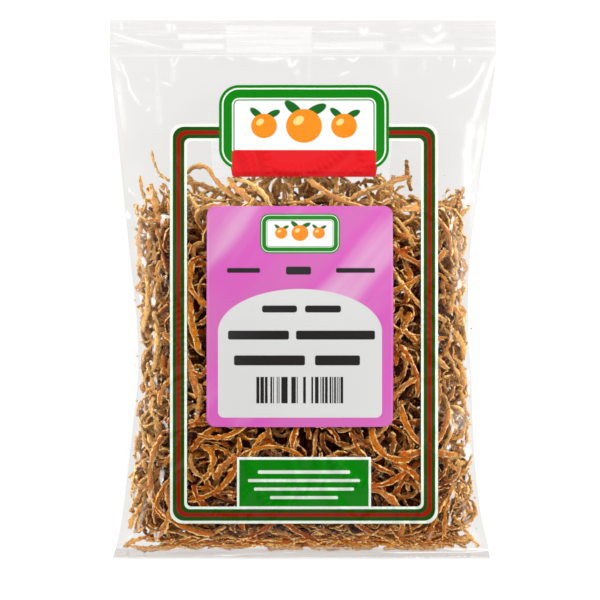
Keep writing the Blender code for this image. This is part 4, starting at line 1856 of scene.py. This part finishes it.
@dataclass(frozen=True)
class Crumbs:
    """Broken bits of peel: small uneven lumps that lie on the back film near the edges."""

    form: Pillow
    count: int = 60
    sizes: tuple[float, float] = (0.0002, 0.0006)

    def build(self, heap: Heap, finish: bpy.types.Material) -> bpy.types.Object:
        """Balls of six rings of eight points, dented at random.

        Args:
            heap: the heap, which gives the edge that they lie along.
            finish: their finish.

        Returns:
            The piece.
        """
        draw = np.random.default_rng(23)
        x = draw.uniform(-0.062, 0.063, 6000)
        y = draw.uniform(-0.093, 0.050, 6000)
        room = heap.edge_distance(x, y)
        near = (room > -0.004) & (room < 0.006)
        x, y = x[near][: self.count], y[near][: self.count]
        size = draw.uniform(*self.sizes, len(x))
        rings, around = 6, 8
        polar = np.linspace(0.001, math.pi - 0.001, rings)[:, None]
        turn = np.linspace(0, 2 * math.pi, around, endpoint=False)[None]
        ball = np.stack([
            np.sin(polar) * np.cos(turn), np.sin(polar) * np.sin(turn), -np.cos(polar) * np.ones_like(turn),
        ], 2)
        dents = draw.uniform(0.65, 1.25, (len(x), rings, around, 1))
        dents = dents * draw.uniform(0.5, 1.2, (len(x), 1, 1, 3))
        low = self.form.back_face(x, y) + size + 0.0002
        centre = np.stack([x, y, low], 1)[:, None, None]
        points = centre + ball[None] * dents * size[:, None, None, None]
        shell = quads_of_grid(rings, around, around=True)
        cap = np.array([[0, 7, 2, 1], [2, 7, 6, 3], [3, 6, 5, 4]])
        shell = np.concatenate([shell, cap, cap[:, ::-1] + (rings - 1) * around])
        faces = [(shell[None] + np.arange(len(x))[:, None, None] * rings * around).reshape(-1, 4)]
        shape = points.shape[:3]
        tone = np.broadcast_to(draw.random((len(x), 1, 1)) * 0.6, shape)
        values = {"rind": draw.random(shape) * 0.6, "tone": tone}
        # Each crumb gets a fixed amount of painted shade and painted light.
        values |= {"deep": np.full(shape, 0.3), "edge": np.full(shape, 0.7)}
        uv = np.zeros((*shape, 2))
        made = Piece("peel_crumbs", points, faces, "peel_in_film", {"strip": uv}, values).build(finish)
        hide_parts("bag")
        return made


@dataclass(frozen=True)
class Print:
    """Ink on the film, as skins that follow its front."""

    film: Film
    camera: Overhead
    lift: float = 0.00026

    def skin(self, column: Array, row: Array, lift: float) -> tuple[Array, Array]:
        """Points over some pixels on the film's front, and their picture coordinates.

        Args:
            column: pixel columns.
            row: pixel rows.
            lift: height over the film.

        Returns:
            The points, and pairs in hundreds of pixels from the picture's middle.
        """
        x, y = self.camera.onto(self.film.form.front, column, row)
        points = np.stack([x, y, self.film.front(x, y) + lift], -1)
        return points, self.camera.drawn_at(column, row)

    def frame(self) -> bpy.types.Object:
        """The striped frame: a rounded rectangle that shrinks from its outer to its inner edge.

        Returns:
            The piece.
        """
        across = np.linspace(0, 1, 15)[None]
        inset, corner = 17.0 * across, 12.5 - 8.0 * across
        x0, x1, y0, y1 = 170.0, 438.0, 124.0, 523.5
        turn = np.linspace(0, math.pi / 2, 9)[:, None]
        sides = []
        for k, (cx, cy) in enumerate(((x1, y0), (x1, y1), (x0, y1), (x0, y0))):
            sx, sy = (1 if cx == x1 else -1), (1 if cy == y1 else -1)
            angle = turn + (k - 1) * math.pi / 2
            column = cx - sx * (inset + corner) + corner * np.cos(angle)
            row = cy - sy * (inset + corner) + corner * np.sin(angle)
            sides.append(np.stack([column, row], 2))
        loop = []
        for k, side in enumerate(sides):
            after = sides[(k + 1) % 4][:1]
            count = 375 if k % 2 == 0 else 245
            share = np.linspace(0, 1, count + 1, endpoint=False)[1:, None, None]
            loop += [side, side[-1:] * (1 - share) + after * share]
        pixels = np.concatenate(loop)
        points, _ = self.skin(pixels[..., 0], pixels[..., 1], self.lift)
        rows, columns = points.shape[:2]
        quads = quads_of_grid(rows, columns)
        seam = quads_of_grid(2, columns)
        seam = np.where(seam >= columns, seam - columns, seam + (rows - 1) * columns)
        uv = np.stack([np.broadcast_to(across, (rows, columns)), np.zeros((rows, columns))], 2)
        band = Piece("printed_frame", points, [quads, seam], "label_paper", {"band": uv})
        return band.build(StripedInk().build())

    def patch(
        self, name: str, sides: Stations, reach: tuple[float, float], lift: float,
        material: bpy.types.Material,
    ) -> bpy.types.Object:
        """A filled patch of ink, wider or narrower from row to row.

        Args:
            name: the piece's name.
            sides: its half width at rising rows, in pixels, with straight lines between.
            reach: the column of its middle, and how far apart its rows are at most.
            lift: height over the film.
            material: its finish.

        Returns:
            The piece.
        """
        rows, halves = np.array(sides).T
        row = np.unique(np.concatenate([rows, np.arange(rows[0], rows[-1], reach[1])]))
        half = np.interp(row, rows, halves)[:, None]
        share = np.linspace(-1, 1, int(2 * halves.max() / reach[1]))[None]
        column = reach[0] + half * share
        points, uv = self.skin(column, np.broadcast_to(row[:, None], column.shape), lift)
        faces = quads_of_grid(*points.shape[:2])[:, ::-1]
        return Piece(name, points, [faces], "label_paper", {"picture": uv}).build(material)

    def rounded(self, top: float, bottom: float, half: float, corner: float) -> list[tuple[float, float]]:
        """Rows and half widths of a rectangle with round corners.

        Args:
            top: its upper row.
            bottom: its lower row.
            half: half its width.
            corner: the corners' radius.

        Returns:
            The pairs, from the top down.
        """
        turn = np.linspace(0, math.pi / 2, 12)
        ends, inward = corner * (1 - np.cos(turn)), corner * (1 - np.sin(turn))
        upper = list(zip(top + ends, half - inward))
        return upper + [(bottom - row + top, wide) for row, wide in upper[::-1]]

    def build(self) -> None:
        """The frame, the plaque with its bar, and the green panel."""
        self.frame()
        lift = self.lift + 0.00008
        plaque = PlaqueFinish(FruitPlaqueInk(4.0, 173.0, 170.0, 84.0)).build()
        border, bar = self.rounded(85.0, 169.0, 85.0, 20.0), self.rounded(150.0, 177.0, 72.0, 3.0)
        sides = [(row, half) for row, half in border if row < 168.0 or half > 73.0]
        sides += [(row, half) for row, half in bar if row > 169.0]
        self.patch("printed_plaque", tuple(sides), (304.0, 1.0), lift, plaque)
        panel = tuple(self.rounded(457.0, 508.0, 67.0, 0.8))
        self.patch("printed_panel", panel, (304.0, 1.2), lift, PanelFinish().build())


@dataclass(frozen=True)
class Sticker:
    """The sticker: a thin closed sheet that follows the front of the film."""

    film: Film
    camera: Overhead
    thickness: float = 0.00025
    lift: float = 0.00025

    def build(self, finish: StickerFinish) -> bpy.types.Object:
        """The sheet's two faces and its cut edge.

        Args:
            finish: the sticker's print.

        Returns:
            The piece, which stands for the CAD label.
        """
        form = self.film.form
        half_x, half_y = form.label_size[0] / 2, form.label_size[1] / 2
        turn = np.linspace(0, math.pi / 2, 9)
        low = half_y - form.label_corner * (1 - np.sin(turn))
        wide = half_x - form.label_corner * (1 - np.cos(turn))
        middle = np.linspace(-low[0], low[0], 80)[1:-1]
        along = np.concatenate([-low[::-1], middle, low])[:, None]
        half = np.concatenate([wide[::-1], np.full(len(middle), half_x), wide])[:, None]
        x = form.label_centre[0] + half * np.linspace(-1, 1, 71)
        y = np.broadcast_to(form.label_centre[1] + along, x.shape)
        height = form.front(x, y) + self.lift
        upper = np.stack([x, y, height + self.thickness], 2)
        lower = np.stack([x, y, height], 2)
        rows, columns = x.shape
        top = quads_of_grid(rows, columns)
        count = rows * columns
        index = np.arange(count).reshape(rows, columns)
        rim = np.concatenate([index[0], index[1:, -1], index[-1, -2::-1], index[-2:0:-1, 0]])
        after = np.roll(rim, -1)
        wall = np.stack([rim, rim + count, after + count, after], 1)
        faces = [top, top[:, ::-1] + count, wall]
        points = np.concatenate([upper.reshape(-1, 3), lower.reshape(-1, 3)])
        column, row = self.camera.pixel_of(points)
        uv = self.camera.drawn_at(column, row)
        sticker = Piece("sticker", points, faces, "label_paper", {"picture": uv}).build(finish.build())
        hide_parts("label")
        return sticker


@dataclass(frozen=True)
class SoftBox:
    """One soft lamp that points at the bag."""

    name: str
    place: tuple[float, float, float]
    size: tuple[float, float]
    power: float

    def build(self) -> None:
        """Adds the lamp."""
        light = bpy.data.lights.new(self.name, "AREA")
        light.shape, (light.size, light.size_y) = "RECTANGLE", self.size
        light.energy = self.power
        lamp = bpy.data.objects.new(self.name, light)
        lamp.location = self.place
        aim = -lamp.location
        lamp.rotation_euler = aim.to_track_quat("-Z", "Y").to_euler()
        bpy.context.scene.collection.objects.link(lamp)


@dataclass(frozen=True)
class Studio:
    """The pale floor, the soft lamps and the even white surroundings."""

    surroundings: float = 0.15
    floor_size: float = 4.0
    lamps: tuple[SoftBox, ...] = (
        SoftBox("left_lamp", (-1.3, 0.3, 0.62), (0.9, 0.9), 28.5),
        SoftBox("right_lamp", (1.3, 0.2, 0.62), (0.9, 0.9), 30.5),
        SoftBox("top_lamp", (0.1, 1.4, 0.75), (1.1, 0.8), 27.0),
        SoftBox("low_lamp", (0.1, -1.3, 0.60), (1.1, 0.7), 22.0),
    )

    def build(self, finish: FloorFinish) -> None:
        """Sets the stage.

        Args:
            finish: the floor's finish.
        """
        scene = bpy.context.scene
        scene.view_settings.view_transform = "Standard"
        world = bpy.data.worlds.new("surroundings")
        world.use_nodes = True
        background = world.node_tree.nodes["Background"]
        background.inputs["Color"].default_value = (1.0, 1.0, 1.0, 1.0)
        background.inputs["Strength"].default_value = self.surroundings
        scene.world = world
        half = self.floor_size / 2
        corners = np.array([[-half, -half, 0.0], [half, -half, 0.0], [half, half, 0.0], [-half, half, 0.0]])
        mesh = bpy.data.meshes.new("floor")
        mesh.from_pydata(corners.tolist(), [], [(0, 1, 2, 3)])
        mesh.materials.append(finish.build())
        floor = bpy.data.objects.new("floor", mesh)
        scene.collection.objects.link(floor)
        for lamp in self.lamps:
            lamp.build()


def main() -> None:
    """Builds the scene in order."""
    logging.basicConfig(level=logging.INFO, format="%(name)s: %(message)s")
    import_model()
    camera = Overhead()
    camera.build()
    form = Pillow().with_pressed_strips()
    film = Film(form, Creases(camera))
    film.build(FilmFinish(form=form))
    heap = Heap(form, camera)
    heap.pack()
    peel = PeelFinish().build()
    for seed, cut in enumerate(Cut, start=31):
        name = f"peel_{cut.name.lower()}s"
        PeelMesh().build(name, Strips.joined(heap.made[cut]), heap, peel, seed)
    Crumbs(form).build(heap, peel)
    Print(film, camera).build()
    Sticker(film, camera).build(StickerFinish())
    Studio().build(FloorFinish())


if __name__ == "__main__":
    main()
